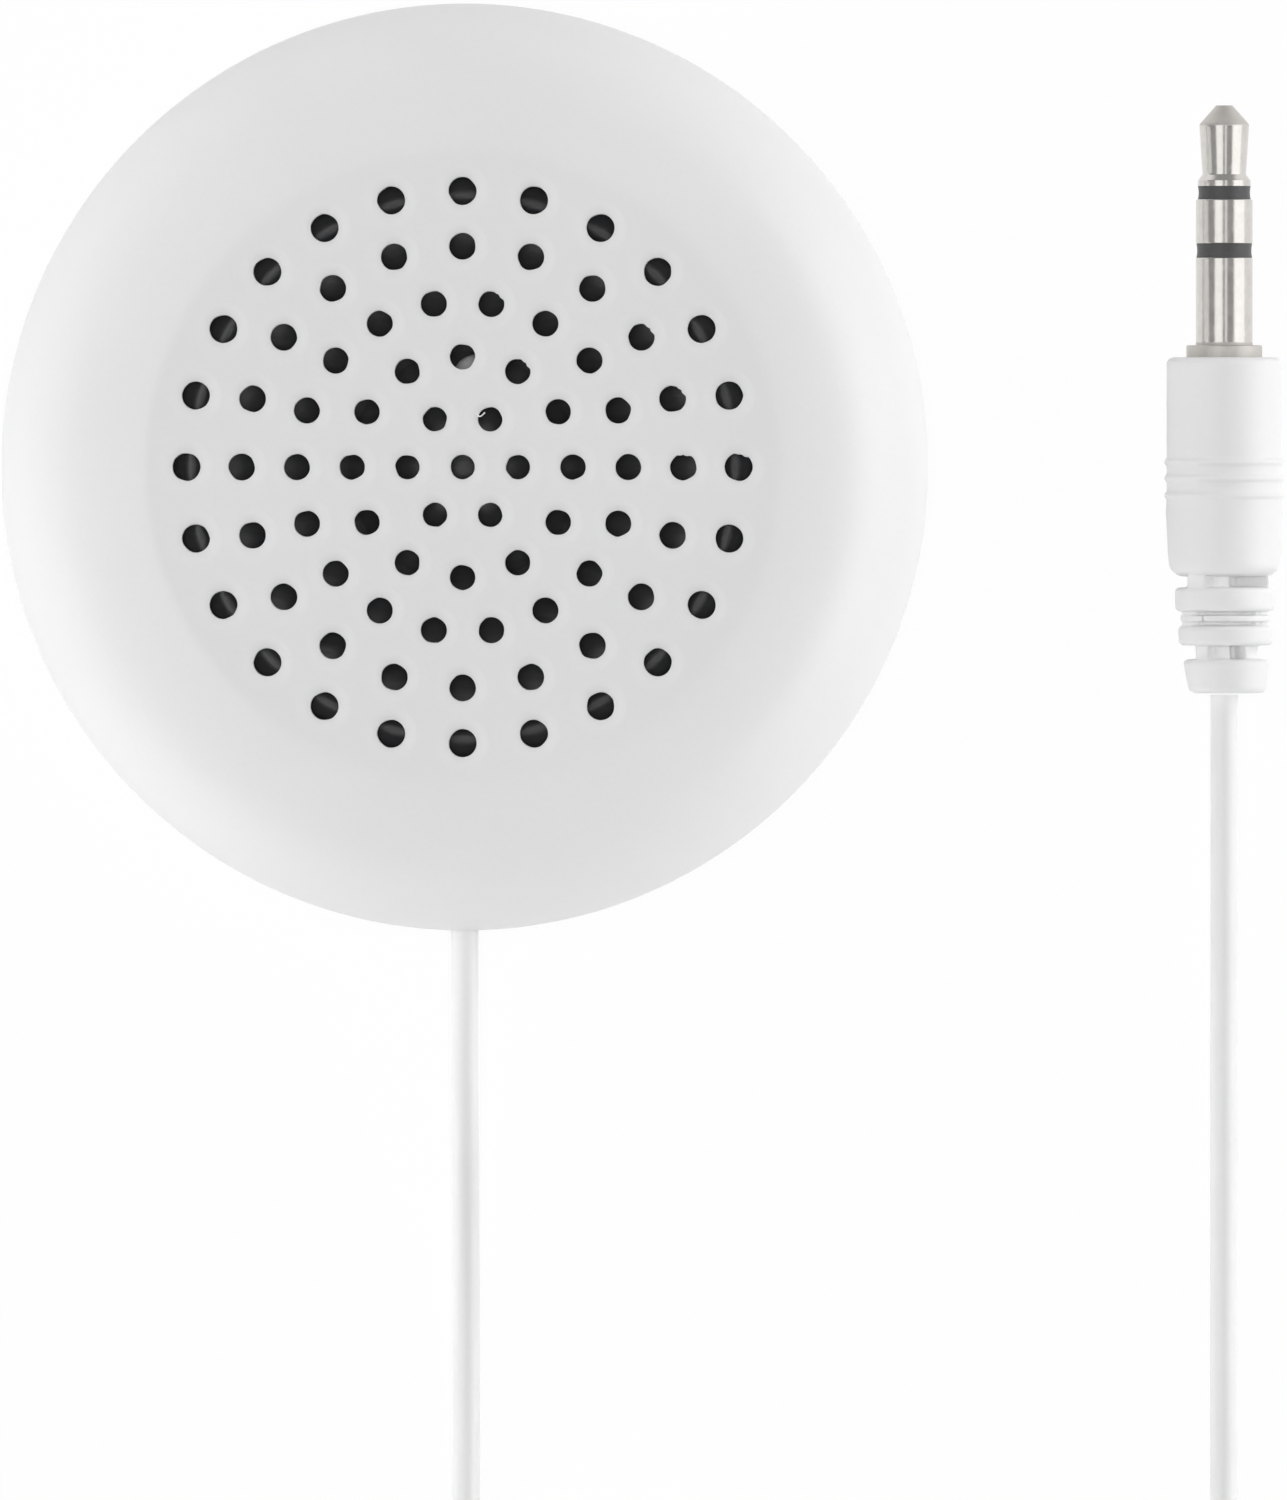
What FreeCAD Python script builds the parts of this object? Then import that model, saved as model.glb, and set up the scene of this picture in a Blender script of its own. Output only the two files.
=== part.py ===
import FreeCAD, Part
import math
import os

# Pillow speaker: a flat round loudspeaker in a white two-part plastic housing, with a thin cord
# and a moulded 3.5 mm stereo plug.
#
# Frame, in millimetres: the speaker lies on its flat back with the grille up. The origin is the
# centre of the footprint, +Z goes out through the grille, and the cord leaves towards -Y.

Vector = FreeCAD.Vector
UP = Vector(0, 0, 1)
FULL_TURN = 360

# Housing, with the room between the driver's collar and the rim for the screw bosses
rim_room = 7.15
front_edge_radius = 9.5
back_edge_radius = 7.5
wall = 1.6
lip_height = 1.4
lip_thickness = 0.7
lip_clearance = 0.1

# Grille: one hole in the middle and rings of holes around it, larger towards the rim
hole_ring_pitch = 3.38
holes_in_ring = [6, 12, 18, 20, 24]
middle_hole_diameter = 1.46
hole_diameters = [1.46, 1.5, 1.55, 1.6, 1.7]
hole_mouth_width = 0.3
hole_mouth_depth = 0.12

# Screws that hold the two halves, put in from the back
screw_angles = [90, 210, 330]
screw_diameter = 2.0
screw_length = 7.2
screw_head_diameter = 4.0
screw_head_height = 1.4
screw_slot_length = 2.4
screw_slot_width = 0.6
screw_slot_depth = 0.7
screw_end_room = 0.4
recess_depth = 3.8
recess_clearance = 0.2
boss_wall = 1.3
recess_wall = 0.8

# Driver: a 40 mm film-cone loudspeaker
driver_diameter = 40.0
driver_clearance = 0.15
seat_drop = 1.4
seat_width = 2.0
collar_wall = 1.2
collar_height = 2.2
gasket_thickness = 0.6
film_thickness = 0.2
flange_thickness = 0.7
basket_depth = 2.5
basket_rim_drop = 2.8
basket_metal = 0.7
basket_round = 0.3
window_count = 4
window_angle = 60
window_inner_radius = 10.6
window_outer_radius = 16.0
roll_width = 2.8
roll_height = 0.8
cone_drop = 1.6
dome_height = 1.8
coil_radius = 7.1
former_wall = 0.15
former_height = 3.0
winding_thickness = 0.25
winding_height = 1.6
coil_running_gap = 0.45
cup_height = 5.3
cup_wall = 1.4
cup_floor = 1.2
magnet_height = 2.6
magnet_inset = 0.3
pole_plate_height = 1.0
pole_gap = 0.35
ring_rib_wall = 0.8
ring_rib_overlap = 1.0
foam_inset = 0.6

# Terminals and inner wiring
board_length = 9.2
board_width = 4.0
board_thickness = 0.8
board_centre_y = -14.0
tag_spacing = 6.2
tag_length = 2.4
tag_width = 2.6
tag_thickness = 0.2
solder_height = 0.7
solder_base_diameter = 1.8
solder_top_diameter = 1.0
lead_diameter = 0.8
lead_spacing = 0.84
lead_straight_length = 2.4
lead_dip_place = 5.2
lead_dip = 0.7
lead_rise = 1.9
coil_wire_diameter = 0.2
coil_wire_angle = 35
coil_wire_turn = 3
coil_wire_float = 0.16
coil_wire_start_drop = 0.5
coil_wire_crest_rise = 0.2
coil_wire_window_drop = 0.3
coil_wire_run_in = 1.3
coil_wire_offset = 0.5
glue_dot_radius = 1.6
glue_dot_inset = 1.68
glue_dot_angle = 80.8

# Cord
cord_diameter = 1.7
cord_hole_clearance = 0.1
cord_start_y = -22.0
tie_width = 1.5
tie_wall = 0.5
tie_gap = 0.6
tie_head_height = 0.9
tie_head_width = 2.0
run_share = 0.45

# Coil that holds the length of cord put away, four layers of turns deep
coil_layers = 4
turns_in_layer = 3.8125
coil_mid_radius = 9.86
coil_centre_x = 11.9
coil_centre_y = -80.0
coil_tie_thickness = 0.3
coil_tie_angle = 14
coil_tie_place = 20
coil_tie_stub_radius = 0.7
coil_tie_stub_height = 2.4

# Plug: lengths run along its axis from the face that stops against a socket
plug_x = 46.73
plug_stop_y = 7.51
contact_diameter = 3.5
sleeve_length = 5.4
rear_insulator_length = 0.85
ring_length = 2.73
front_insulator_length = 0.82
insulator_groove = 0.03
insulator_hollow = 0.05
contact_edge_round = 0.08
tip_length = 4.97
tip_flat_diameter = 1.0
tip_cone_length = 1.18
tip_head_diameter = 3.08
tip_waist_diameter = 2.68
tip_waist_from_end = 4.25
tip_foot_diameter = 3.26
tip_foot_length = 0.35
tip_nose_round = 0.1
tip_head_round = 0.3
tip_waist_round = 0.2
tip_foot_round = 0.1
flange_diameter = 4.67
flange_length = 0.75
flange_round = 0.1
rod_diameter = 1.0
inner_tube_wall = 0.28
rear_step = 1.0
shank_length = 3.0

# Plug moulding: a grip with three ribs, then a strain relief of three rings joined by webs
grip_diameter = 7.1
grip_length = 13.5
grip_front_round = 0.45
grip_rib_places = [6.45, 7.45, 8.5]
grip_rib_height = 0.15
grip_rib_width = 0.6
grip_swell_place = 9.4
grip_swell_diameter = 7.2
grip_taper_place = 12.25
grip_taper_diameter = 6.9
grip_end_diameter = 6.5
grip_end_round = 0.6
relief_ring_diameters = [6.1, 5.8, 5.3]
relief_end_diameter = 4.9
relief_end_round = 0.5
relief_ring_lengths = [1.48, 1.23, 2.09]
relief_neck_diameters = [4.9, 5.4, 3.9]
relief_gaps = [0.67, 0.86, 0.86]
relief_ring_round = 0.3
relief_neck_round = 0.2
relief_core_diameter = 2.9
relief_web_shares = [0.70, 0.56, 0.70]
relief_turn = 18

# Levels and radii that follow from the sizes above
driver_radius = driver_diameter / 2
collar_inner_radius = driver_radius + driver_clearance
collar_outer_radius = collar_inner_radius + collar_wall
housing_radius = collar_outer_radius + rim_room
parting_height = back_edge_radius
housing_height = back_edge_radius + front_edge_radius
inner_radius = housing_radius - wall
grille_under = housing_height - wall
seat_level = grille_under - seat_drop
gasket_under = seat_level - gasket_thickness
film_under = gasket_under - film_thickness
flange_under = film_under - flange_thickness
basket_under = film_under - basket_depth
basket_floor_top = basket_under + basket_metal
seat_inner_radius = driver_radius - seat_width
boss_circle_radius = (collar_outer_radius + inner_radius) / 2
boss_radius = screw_diameter / 2 + boss_wall
recess_radius = screw_head_diameter / 2 + recess_clearance
cup_under = basket_under - cup_height
cup_inner_radius = coil_radius + winding_thickness + coil_running_gap
cup_outer_radius = cup_inner_radius + cup_wall
foam_radius = cup_outer_radius - foam_inset
pole_radius = coil_radius - former_wall - pole_gap
magnet_radius = pole_radius - magnet_inset
magnet_under = cup_under + cup_floor
pole_under = magnet_under + magnet_height
pole_top = pole_under + pole_plate_height
basket_wall_radius = driver_radius - basket_rim_drop
roll_outer_radius = seat_inner_radius
roll_inner_radius = roll_outer_radius - roll_width
roll_mid_radius = roll_outer_radius - roll_width / 2
cone_foot = gasket_under - cone_drop
former_top = cone_foot - film_thickness
former_under = former_top - former_height
winding_mid = (pole_under + pole_top) / 2
winding_top = winding_mid + winding_height / 2
winding_under = winding_mid - winding_height / 2
board_under = basket_under - board_thickness
tag_under = board_under - tag_thickness
solder_under = tag_under - solder_height
dome_top = cone_foot + dome_height
dome_sphere_radius = (coil_radius ** 2 + dome_height ** 2) / (2 * dome_height)
cord_radius = cord_diameter / 2
turn_pitch = cord_diameter
coil_half_width = turn_pitch * turns_in_layer / 2
coil_outer_radius = coil_mid_radius + coil_half_width
coil_inner_radius = coil_mid_radius - coil_half_width
coil_height = coil_layers * cord_diameter
coil_top_line = coil_tie_thickness + coil_height - cord_radius
plug_axis_height = grip_diameter / 2 + grip_rib_height
contact_radius = contact_diameter / 2
relief_length = sum(relief_ring_lengths) + sum(relief_gaps)
plug_end_y = plug_stop_y - flange_length - grip_length - relief_length
plug_front = sleeve_length + rear_insulator_length + ring_length + front_insulator_length


def polar(radius, angle, z=0.0):
    radians = math.radians(angle)
    return Vector(radius * math.cos(radians), radius * math.sin(radians), z)


def cylinder(radius, low, high, centre=Vector(0, 0, 0)):
    return Part.makeCylinder(radius, high - low, centre + Vector(0, 0, low), UP)


def ring(outer, inner, low, high):
    return cylinder(outer, low, high).cut(cylinder(inner, low, high))


def wedge(outer, inner, low, high, middle, angle):
    """Part of a ring that spans the angle, centred on the middle direction."""
    corners = [Vector(inner, 0, low), Vector(outer, 0, low), Vector(outer, 0, high)]
    corners += [Vector(inner, 0, high), Vector(inner, 0, low)]
    section = Part.Face(Part.makePolygon(corners))
    section.rotate(Vector(0, 0, 0), UP, middle - angle / 2)
    return section.revolve(Vector(0, 0, 0), UP, angle)


def corner_arc(before, corner, after, radius):
    """Start, middle and end of the arc that rounds a corner."""
    back = (before - corner).normalize()
    forth = (after - corner).normalize()
    half_turn = (math.pi - back.getAngle(forth)) / 2
    reach = radius * math.tan(half_turn)
    inward = (back + forth).normalize()
    middle = corner + inward * (radius / math.cos(half_turn) - radius)
    return corner + back * reach, middle, corner + forth * reach


def turned(corners):
    """Solid turned about the Z axis from corners of radius, height and corner rounding."""
    points = [Vector(r, 0, z) for r, z, rounding in corners]
    edges = []
    starts = []
    ends = []
    arcs = []
    for i, (r, z, rounding) in enumerate(corners):
        if rounding > 0:
            following = points[(i + 1) % len(points)]
            start, middle, end = corner_arc(points[i - 1], points[i], following, rounding)
            arcs.append(Part.Arc(start, middle, end).toShape())
        else:
            start = end = points[i]
            arcs.append(None)
        starts.append(start)
        ends.append(end)
    for i, arc in enumerate(arcs):
        if arc:
            edges.append(arc)
        following = starts[(i + 1) % len(starts)]
        if (following - ends[i]).Length > 1e-6:
            edges.append(Part.LineSegment(ends[i], following).toShape())
    face = Part.Face(Part.Wire(edges))
    solid = face.revolve(Vector(0, 0, 0), UP, FULL_TURN)
    return solid


def tube(name, points, radius):
    """Round tube along straight runs joined by tangent arcs, as large as the runs allow."""
    edges = []
    start = points[0]
    radii = []
    for before, corner, after in zip(points, points[1:], points[2:]):
        shorter = min((corner - before).Length, (after - corner).Length)
        turn = (corner - before).getAngle(after - corner)
        bend = run_share * shorter / math.tan(turn / 2)
        arc_start, middle, arc_end = corner_arc(before, corner, after, bend)
        edges.append(Part.LineSegment(start, arc_start).toShape())
        edges.append(Part.Arc(arc_start, middle, arc_end).toShape())
        start = arc_end
        radii.append(round(bend, 1))
    edges.append(Part.LineSegment(start, points[-1]).toShape())
    path = Part.Wire(edges)
    circle = Part.Circle(points[0], points[1] - points[0], radius).toShape()
    solid = path.makePipeShell([Part.Wire(circle)], True, False)
    expected = math.pi * radius ** 2 * path.Length
    print(f"{name}: length {path.Length:.1f} mm, bend radii {radii}, volume {solid.Volume:.2f} mm3,")
    print(f"  section times length {expected:.2f} mm3")
    return solid


def fused(shapes):
    return shapes[0].multiFuse(shapes[1:]).removeSplitter()


def one_solid(shape):
    """The largest solid of a shape, where a cut leaves a sliver beside it."""
    return max(shape.Solids, key=lambda solid: solid.Volume)


def write(node, solids):
    shape = solids[0] if len(solids) == 1 else Part.Compound(solids)
    shape.exportStep(f"parts/{node}.step")
    volume = sum(solid.Volume for solid in solids)
    print(f"{node}: {len(solids)} solid(s), {volume:.2f} mm3, valid {shape.isValid()}")


# Housing halves

def pill_half(radius, edge, bottom_level, top_level):
    """Half of the pillow form: a disc whose outer edge is a quarter circle at one end."""
    rises = top_level > bottom_level
    middle_angle = math.radians(45 if rises else -45)
    rim = Vector(radius, 0, bottom_level)
    corner_centre = Vector(radius - edge, 0, bottom_level)
    middle = corner_centre + Vector(math.cos(middle_angle), 0, math.sin(middle_angle)) * edge
    crest = Vector(radius - edge, 0, top_level)
    edges = [
        Part.LineSegment(Vector(0, 0, bottom_level), rim).toShape(),
        Part.Arc(rim, middle, crest).toShape(),
        Part.LineSegment(crest, Vector(0, 0, top_level)).toShape(),
        Part.LineSegment(Vector(0, 0, top_level), Vector(0, 0, bottom_level)).toShape(),
    ]
    return Part.Face(Part.Wire(edges)).revolve(Vector(0, 0, 0), UP, FULL_TURN)


def cord_hole():
    radius = cord_radius + cord_hole_clearance
    start = Vector(0, -collar_outer_radius, parting_height)
    return Part.makeCylinder(radius, housing_radius - collar_outer_radius + wall, start, Vector(0, -1, 0))


def grille_hole(radius, centre):
    """Hole through the face, with its mouth eased as on a moulded grille."""
    low = grille_under - wall
    high = housing_height + wall
    mouth_radius = radius + hole_mouth_width
    hole = turned([
        (0, low, 0),
        (radius, low, 0),
        (radius, housing_height - hole_mouth_depth, 0),
        (mouth_radius, housing_height, 0),
        (mouth_radius, high, 0),
        (0, high, 0),
    ])
    return hole.translated(centre)


def grille_holes():
    """Holes on rings a fixed pitch apart, each ring with its own size of hole."""
    holes = [grille_hole(middle_hole_diameter / 2, Vector(0, 0, 0))]
    for number, (count, diameter) in enumerate(zip(holes_in_ring, hole_diameters), start=1):
        for step in range(count):
            centre = polar(number * hole_ring_pitch, step * FULL_TURN / count)
            holes.append(grille_hole(diameter / 2, centre))
    return holes


def front_shell():
    outer = pill_half(housing_radius, front_edge_radius, parting_height, housing_height)
    inner = pill_half(inner_radius, front_edge_radius - wall, parting_height, grille_under)
    # The driver's seat and the collar that centres it hang from the inside of the face.
    seat = ring(collar_outer_radius, seat_inner_radius, seat_level, housing_height)
    collar = ring(collar_outer_radius, collar_inner_radius, seat_level - collar_height, housing_height)
    parts = [outer.cut(inner), seat.common(outer), collar.common(outer)]
    for angle in screw_angles:
        boss = cylinder(boss_radius, parting_height, housing_height, polar(boss_circle_radius, angle))
        parts.append(boss.common(outer))
    lip = ring(inner_radius + lip_thickness, inner_radius, parting_height - lip_height, parting_height)
    parts.append(lip)
    shell = fused(parts)
    holes = grille_holes()
    holes.append(cord_hole())
    thread_depth = recess_depth + screw_length + screw_end_room
    for angle in screw_angles:
        centre = polar(boss_circle_radius, angle)
        holes.append(cylinder(screw_diameter / 2, parting_height - wall, thread_depth, centre))
    return one_solid(shell.cut(Part.Compound(holes)))


def back_shell():
    outer = pill_half(housing_radius, back_edge_radius, parting_height, 0)
    inner = pill_half(inner_radius, back_edge_radius - wall, parting_height, wall)
    parts = [outer.cut(inner)]
    # A ring rib on the floor keeps the magnet cup in the middle.
    rib_inner = cup_outer_radius + driver_clearance
    parts.append(ring(rib_inner + ring_rib_wall, rib_inner, wall / 2, cup_under + ring_rib_overlap))
    for angle in screw_angles:
        centre = polar(boss_circle_radius, angle)
        parts.append(cylinder(boss_radius, wall / 2, parting_height, centre).common(outer))
        wide = cylinder(recess_radius + recess_wall, 0, recess_depth + recess_wall, centre)
        parts.append(wide.common(outer))
    shell = fused(parts)
    cuts = [cord_hole()]
    groove_radius = inner_radius + lip_thickness + lip_clearance
    groove_floor = parting_height - lip_height - lip_clearance
    cuts.append(ring(groove_radius, inner_radius - lip_clearance, groove_floor, parting_height + wall))
    for angle in screw_angles:
        centre = polar(boss_circle_radius, angle)
        cuts.append(cylinder(recess_radius, -wall, recess_depth, centre))
        cuts.append(cylinder(screw_diameter / 2, 0, parting_height + wall, centre))
    return one_solid(shell.cut(Part.Compound(cuts)))


def shell_screws():
    """Pan-head screws with a cross slot, heads sunk in the back."""
    head_radius = screw_head_diameter / 2
    head_low = recess_depth - screw_head_height
    screws = []
    for angle in screw_angles:
        head = turned([
            (0, head_low, 0),
            (head_radius, head_low, screw_head_height / 2),
            (head_radius, recess_depth, 0),
            (screw_diameter / 2, recess_depth, 0),
            (screw_diameter / 2, recess_depth + screw_length, 0),
            (0, recess_depth + screw_length, 0),
        ])
        for length, width in [
            (screw_slot_length, screw_slot_width),
            (screw_slot_width, screw_slot_length),
        ]:
            corner = Vector(-length / 2, -width / 2, head_low)
            head = head.cut(Part.makeBox(length, width, screw_slot_depth, corner))
        head.translate(polar(boss_circle_radius, angle))
        screws.append(one_solid(head))
    return screws


# Driver

def driver_gasket():
    return ring(driver_radius, seat_inner_radius, gasket_under, seat_level)


def diaphragm():
    """Thin film: flat rim, half-roll surround, cone and dome, as one sheet of even thickness."""
    rim_outer = Vector(driver_radius, 0, gasket_under)
    rim_inner = Vector(roll_outer_radius, 0, gasket_under)
    roll_top = Vector(roll_mid_radius, 0, gasket_under + roll_height)
    cone_top = Vector(roll_inner_radius, 0, gasket_under)
    cone_bottom = Vector(coil_radius, 0, cone_foot)
    apex = Vector(0, 0, dome_top)
    sphere_centre = dome_top - dome_sphere_radius
    half = coil_radius / 2
    dome_middle = Vector(half, 0, sphere_centre + math.sqrt(dome_sphere_radius ** 2 - half ** 2))
    top = [
        Part.LineSegment(rim_outer, rim_inner).toShape(),
        Part.Arc(rim_inner, roll_top, cone_top).toShape(),
        Part.LineSegment(cone_top, cone_bottom).toShape(),
        Part.Arc(cone_bottom, dome_middle, apex).toShape(),
    ]
    drop = Vector(0, 0, -film_thickness)
    under = [edge.translated(drop) for edge in top]
    ends = [
        Part.LineSegment(rim_outer, rim_outer + drop).toShape(),
        Part.LineSegment(apex, apex + drop).toShape(),
    ]
    wire = Part.Wire(Part.__sortEdges__(top + under + ends))
    return Part.Face(wire).revolve(Vector(0, 0, 0), UP, FULL_TURN)


def voice_coil_former():
    return ring(coil_radius, coil_radius - former_wall, former_under, former_top)


def voice_coil_winding():
    return ring(coil_radius + winding_thickness, coil_radius, winding_under, winding_top)


def driver_basket():
    """Pressed steel frame: a flange, a short wall and a floor with vent windows."""
    basket = turned([
        (driver_radius, film_under, 0),
        (driver_radius, flange_under, 0),
        (basket_wall_radius, flange_under, 0),
        (basket_wall_radius, basket_under, basket_round),
        (cup_inner_radius, basket_under, 0),
        (cup_inner_radius, basket_floor_top, 0),
        (basket_wall_radius - basket_metal, basket_floor_top, 0),
        (basket_wall_radius - basket_metal, film_under, basket_round),
    ])
    low = basket_under - basket_metal
    high = basket_floor_top + basket_metal / 2
    for number in range(window_count):
        middle = (number + 0.5) * FULL_TURN / window_count
        basket = basket.cut(wedge(window_outer_radius, window_inner_radius, low, high, middle, window_angle))
    return one_solid(basket)


def magnet_cup():
    outer = cylinder(cup_outer_radius, cup_under, basket_under)
    return outer.cut(cylinder(cup_inner_radius, magnet_under, basket_under + wall))


def magnet():
    return cylinder(magnet_radius, magnet_under, pole_under)


def pole_plate():
    return cylinder(pole_radius, pole_under, pole_top)


def rear_foam_pad():
    return cylinder(foam_radius, wall, cup_under)


def terminal_board():
    corner = Vector(-board_length / 2, board_centre_y - board_width / 2, board_under)
    return Part.makeBox(board_length, board_width, board_thickness, corner)


def terminal_tags():
    tags = []
    for side in (-1, 1):
        corner = Vector(side * tag_spacing / 2 - tag_length / 2, board_centre_y - tag_width / 2, tag_under)
        tags.append(Part.makeBox(tag_length, tag_width, tag_thickness, corner))
    return tags


def solder_joints():
    joints = []
    for side in (-1, 1):
        foot = Vector(side * tag_spacing / 2, board_centre_y, tag_under)
        down = Vector(0, 0, -1)
        base = solder_base_diameter / 2
        joints.append(Part.makeCone(base, solder_top_diameter / 2, solder_height, foot, down))
    return joints


def lead_wire(side):
    """Insulated lead from the end of the cord's jacket to its solder joint."""
    near = side * lead_spacing / 2
    far = side * tag_spacing / 2
    level = parting_height
    points = [
        Vector(near, cord_start_y, level),
        Vector(near, cord_start_y + lead_straight_length, level),
        Vector((near + far) / 2, cord_start_y + lead_dip_place, level - lead_dip),
        Vector(far, board_centre_y, solder_under - lead_rise),
        Vector(far, board_centre_y, solder_under),
    ]
    return tube("lead wire", points, lead_diameter / 2)


def coil_lead_wires():
    """Bare wires from the winding, out under the cone and down through a window to the tags."""
    level = basket_floor_top + coil_wire_diameter / 2 + coil_wire_float
    tag_edge = tag_spacing / 2 + tag_length / 2
    tag_mid = tag_under + tag_thickness / 2
    tag_y = board_centre_y + coil_wire_offset
    over_edge = cup_inner_radius + coil_wire_diameter / 2
    window_level = basket_under - coil_wire_window_drop
    wires = []
    for side in (-1, 1):
        angle = -90 + side * coil_wire_angle
        start_radius = coil_radius + winding_thickness / 2
        points = [
            polar(start_radius, angle, winding_top),
            polar(start_radius, angle, level - coil_wire_start_drop),
            polar(over_edge, angle, level),
            polar(window_inner_radius + 0.9, angle, level + coil_wire_crest_rise),
            polar(window_inner_radius + 2.0, angle - side * coil_wire_turn, window_level),
            Vector(side * (tag_edge + coil_wire_run_in), tag_y, tag_mid),
            Vector(side * tag_edge, tag_y, tag_mid),
        ]
        wires.append(tube("coil lead wire", points, coil_wire_diameter / 2))
    return wires


def glue_dot():
    """Stray drop of set glue on the dome."""
    sphere_centre = Vector(0, 0, dome_top - dome_sphere_radius)
    offset = coil_radius - glue_dot_inset
    seat = sphere_centre.z + math.sqrt(dome_sphere_radius ** 2 - offset ** 2)
    drop_centre = polar(offset, glue_dot_angle, seat - glue_dot_radius / 3)
    drop = Part.makeSphere(glue_dot_radius, drop_centre)
    return one_solid(drop.cut(Part.makeSphere(dome_sphere_radius, sphere_centre)))


# Cord, its tie inside the housing and its coil

def cord_tie():
    """Nylon tie, drawn tight on the cord just inside the wall, that takes the pull."""
    start = Vector(0, -inner_radius + tie_gap, parting_height)
    band_radius = cord_radius + tie_wall
    band = Part.makeCylinder(band_radius, tie_width, start, Vector(0, 1, 0))
    corner = Vector(-tie_head_width / 2, start.y, parting_height + cord_radius)
    head = Part.makeBox(tie_head_width, tie_width, tie_wall + tie_head_height, corner)
    bore = Part.makeCylinder(cord_radius, tie_width, start, Vector(0, 1, 0))
    return one_solid(fused([band, head]).cut(bore))


def speaker_run_points():
    floor = cord_radius
    return [
        Vector(0, cord_start_y, parting_height),
        Vector(0, -34.0, parting_height),
        Vector(0, -52.0, floor),
        Vector(0, -67.0, floor),
        Vector(-0.78, -75.5, floor + 0.2),
    ]


def plug_run_points():
    floor = cord_radius
    return [
        Vector(coil_centre_x, coil_centre_y - coil_outer_radius, coil_top_line),
        Vector(24.0, -93.2, 3.5),
        Vector(36.0, -89.6, floor),
        Vector(43.9, -81.2, floor),
        Vector(plug_x, -68.0, floor),
        Vector(plug_x, -37.0, floor),
        Vector(plug_x, -23.0, plug_axis_height),
        Vector(plug_x, plug_end_y, plug_axis_height),
    ]


def coil_section(margin):
    """Rounded outline of the bundle of turns, with a margin around it."""
    inner = coil_inner_radius - cord_radius - margin
    outer = coil_outer_radius + cord_radius + margin
    low = coil_tie_thickness - margin
    high = coil_tie_thickness + coil_height + margin
    rounding = cord_radius + margin
    return [(inner, low, rounding), (outer, low, rounding), (outer, high, rounding), (inner, high, rounding)]


def coil_centre():
    return Vector(coil_centre_x, coil_centre_y, 0)


def cord_coil():
    return turned(coil_section(0)).translated(coil_centre())


def coil_tie():
    """Short plastic-covered wire tie around the bundle, with its twisted ends on top."""
    band = turned(coil_section(coil_tie_thickness)).cut(turned(coil_section(0)))
    reach = coil_outer_radius + cord_diameter
    slice_low = -coil_tie_thickness
    slice_high = coil_height + cord_diameter
    slot = wedge(reach, cord_radius, slice_low, slice_high, coil_tie_place, coil_tie_angle)
    band = band.common(slot)
    top = coil_tie_thickness + coil_height + coil_tie_thickness
    stub_foot = polar(coil_mid_radius, coil_tie_place)
    stub_low = top - coil_tie_thickness / 2
    stub = cylinder(coil_tie_stub_radius, stub_low, top + coil_tie_stub_height, stub_foot)
    return one_solid(fused([band, stub])).translated(coil_centre())


def cord_speaker_run():
    run = tube("cord_speaker_run", speaker_run_points(), cord_radius)
    return one_solid(run.cut(cord_coil()))


def cord_plug_run():
    run = tube("cord_plug_run", plug_run_points(), cord_radius)
    return one_solid(run.cut(cord_coil()))


# Plug, made standing on the Z axis with the socket face at zero, then laid along +Y

def laid(shape):
    shape = shape.copy()
    shape.rotate(Vector(0, 0, 0), Vector(1, 0, 0), -90)
    shape.translate(Vector(plug_x, plug_stop_y, plug_axis_height))
    return shape


def tube_radii():
    """Radii of the nested rod and tubes, from the rod outwards."""
    first = rod_diameter / 2
    return [first + step * inner_tube_wall for step in range(4)]


def rear_levels():
    """Rear ends of the nested pieces, the rod's the furthest back."""
    shank_end = -flange_length - shank_length
    return [shank_end - rear_step * step for step in range(5)]


def plug_sleeve():
    bore = tube_radii()[3]
    flange_radius = flange_diameter / 2
    return turned([
        (bore, sleeve_length, 0),
        (contact_radius, sleeve_length, contact_edge_round),
        (contact_radius, 0, 0),
        (flange_radius, 0, flange_round),
        (flange_radius, -flange_length, 0),
        (contact_radius, -flange_length, 0),
        (contact_radius, rear_levels()[0], 0),
        (bore, rear_levels()[0], 0),
    ])


def insulator(outer, tube_outer, tube_inner, top, bottom, rear):
    """Moulded washer with a tube behind it. Its rim is slightly hollow from shrinking."""
    middle = Vector(outer - insulator_hollow, 0, (top + bottom) / 2)
    rim = Part.Arc(Vector(outer, 0, top), middle, Vector(outer, 0, bottom)).toShape()
    corners = [(outer, bottom), (tube_outer, bottom), (tube_outer, rear)]
    corners += [(tube_inner, rear), (tube_inner, top), (outer, top)]
    rest = Part.makePolygon([Vector(r, 0, z) for r, z in corners])
    section = Part.Face(Part.Wire([rim] + rest.Edges))
    return section.revolve(Vector(0, 0, 0), UP, FULL_TURN)


def plug_insulator_rear():
    radii = tube_radii()
    top = sleeve_length + rear_insulator_length
    outer = contact_radius - insulator_groove
    return insulator(outer, radii[3], radii[2], top, sleeve_length, rear_levels()[1])


def plug_ring():
    radii = tube_radii()
    bottom = sleeve_length + rear_insulator_length
    top = bottom + ring_length
    rear = rear_levels()[2]
    return turned([
        (radii[1], top, 0),
        (contact_radius, top, contact_edge_round),
        (contact_radius, bottom, contact_edge_round),
        (radii[2], bottom, 0),
        (radii[2], rear, 0),
        (radii[1], rear, 0),
    ])


def plug_insulator_front():
    radii = tube_radii()
    bottom = sleeve_length + rear_insulator_length + ring_length
    outer = tip_foot_diameter / 2
    return insulator(outer, radii[1], radii[0], plug_front, bottom, rear_levels()[3])


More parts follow.
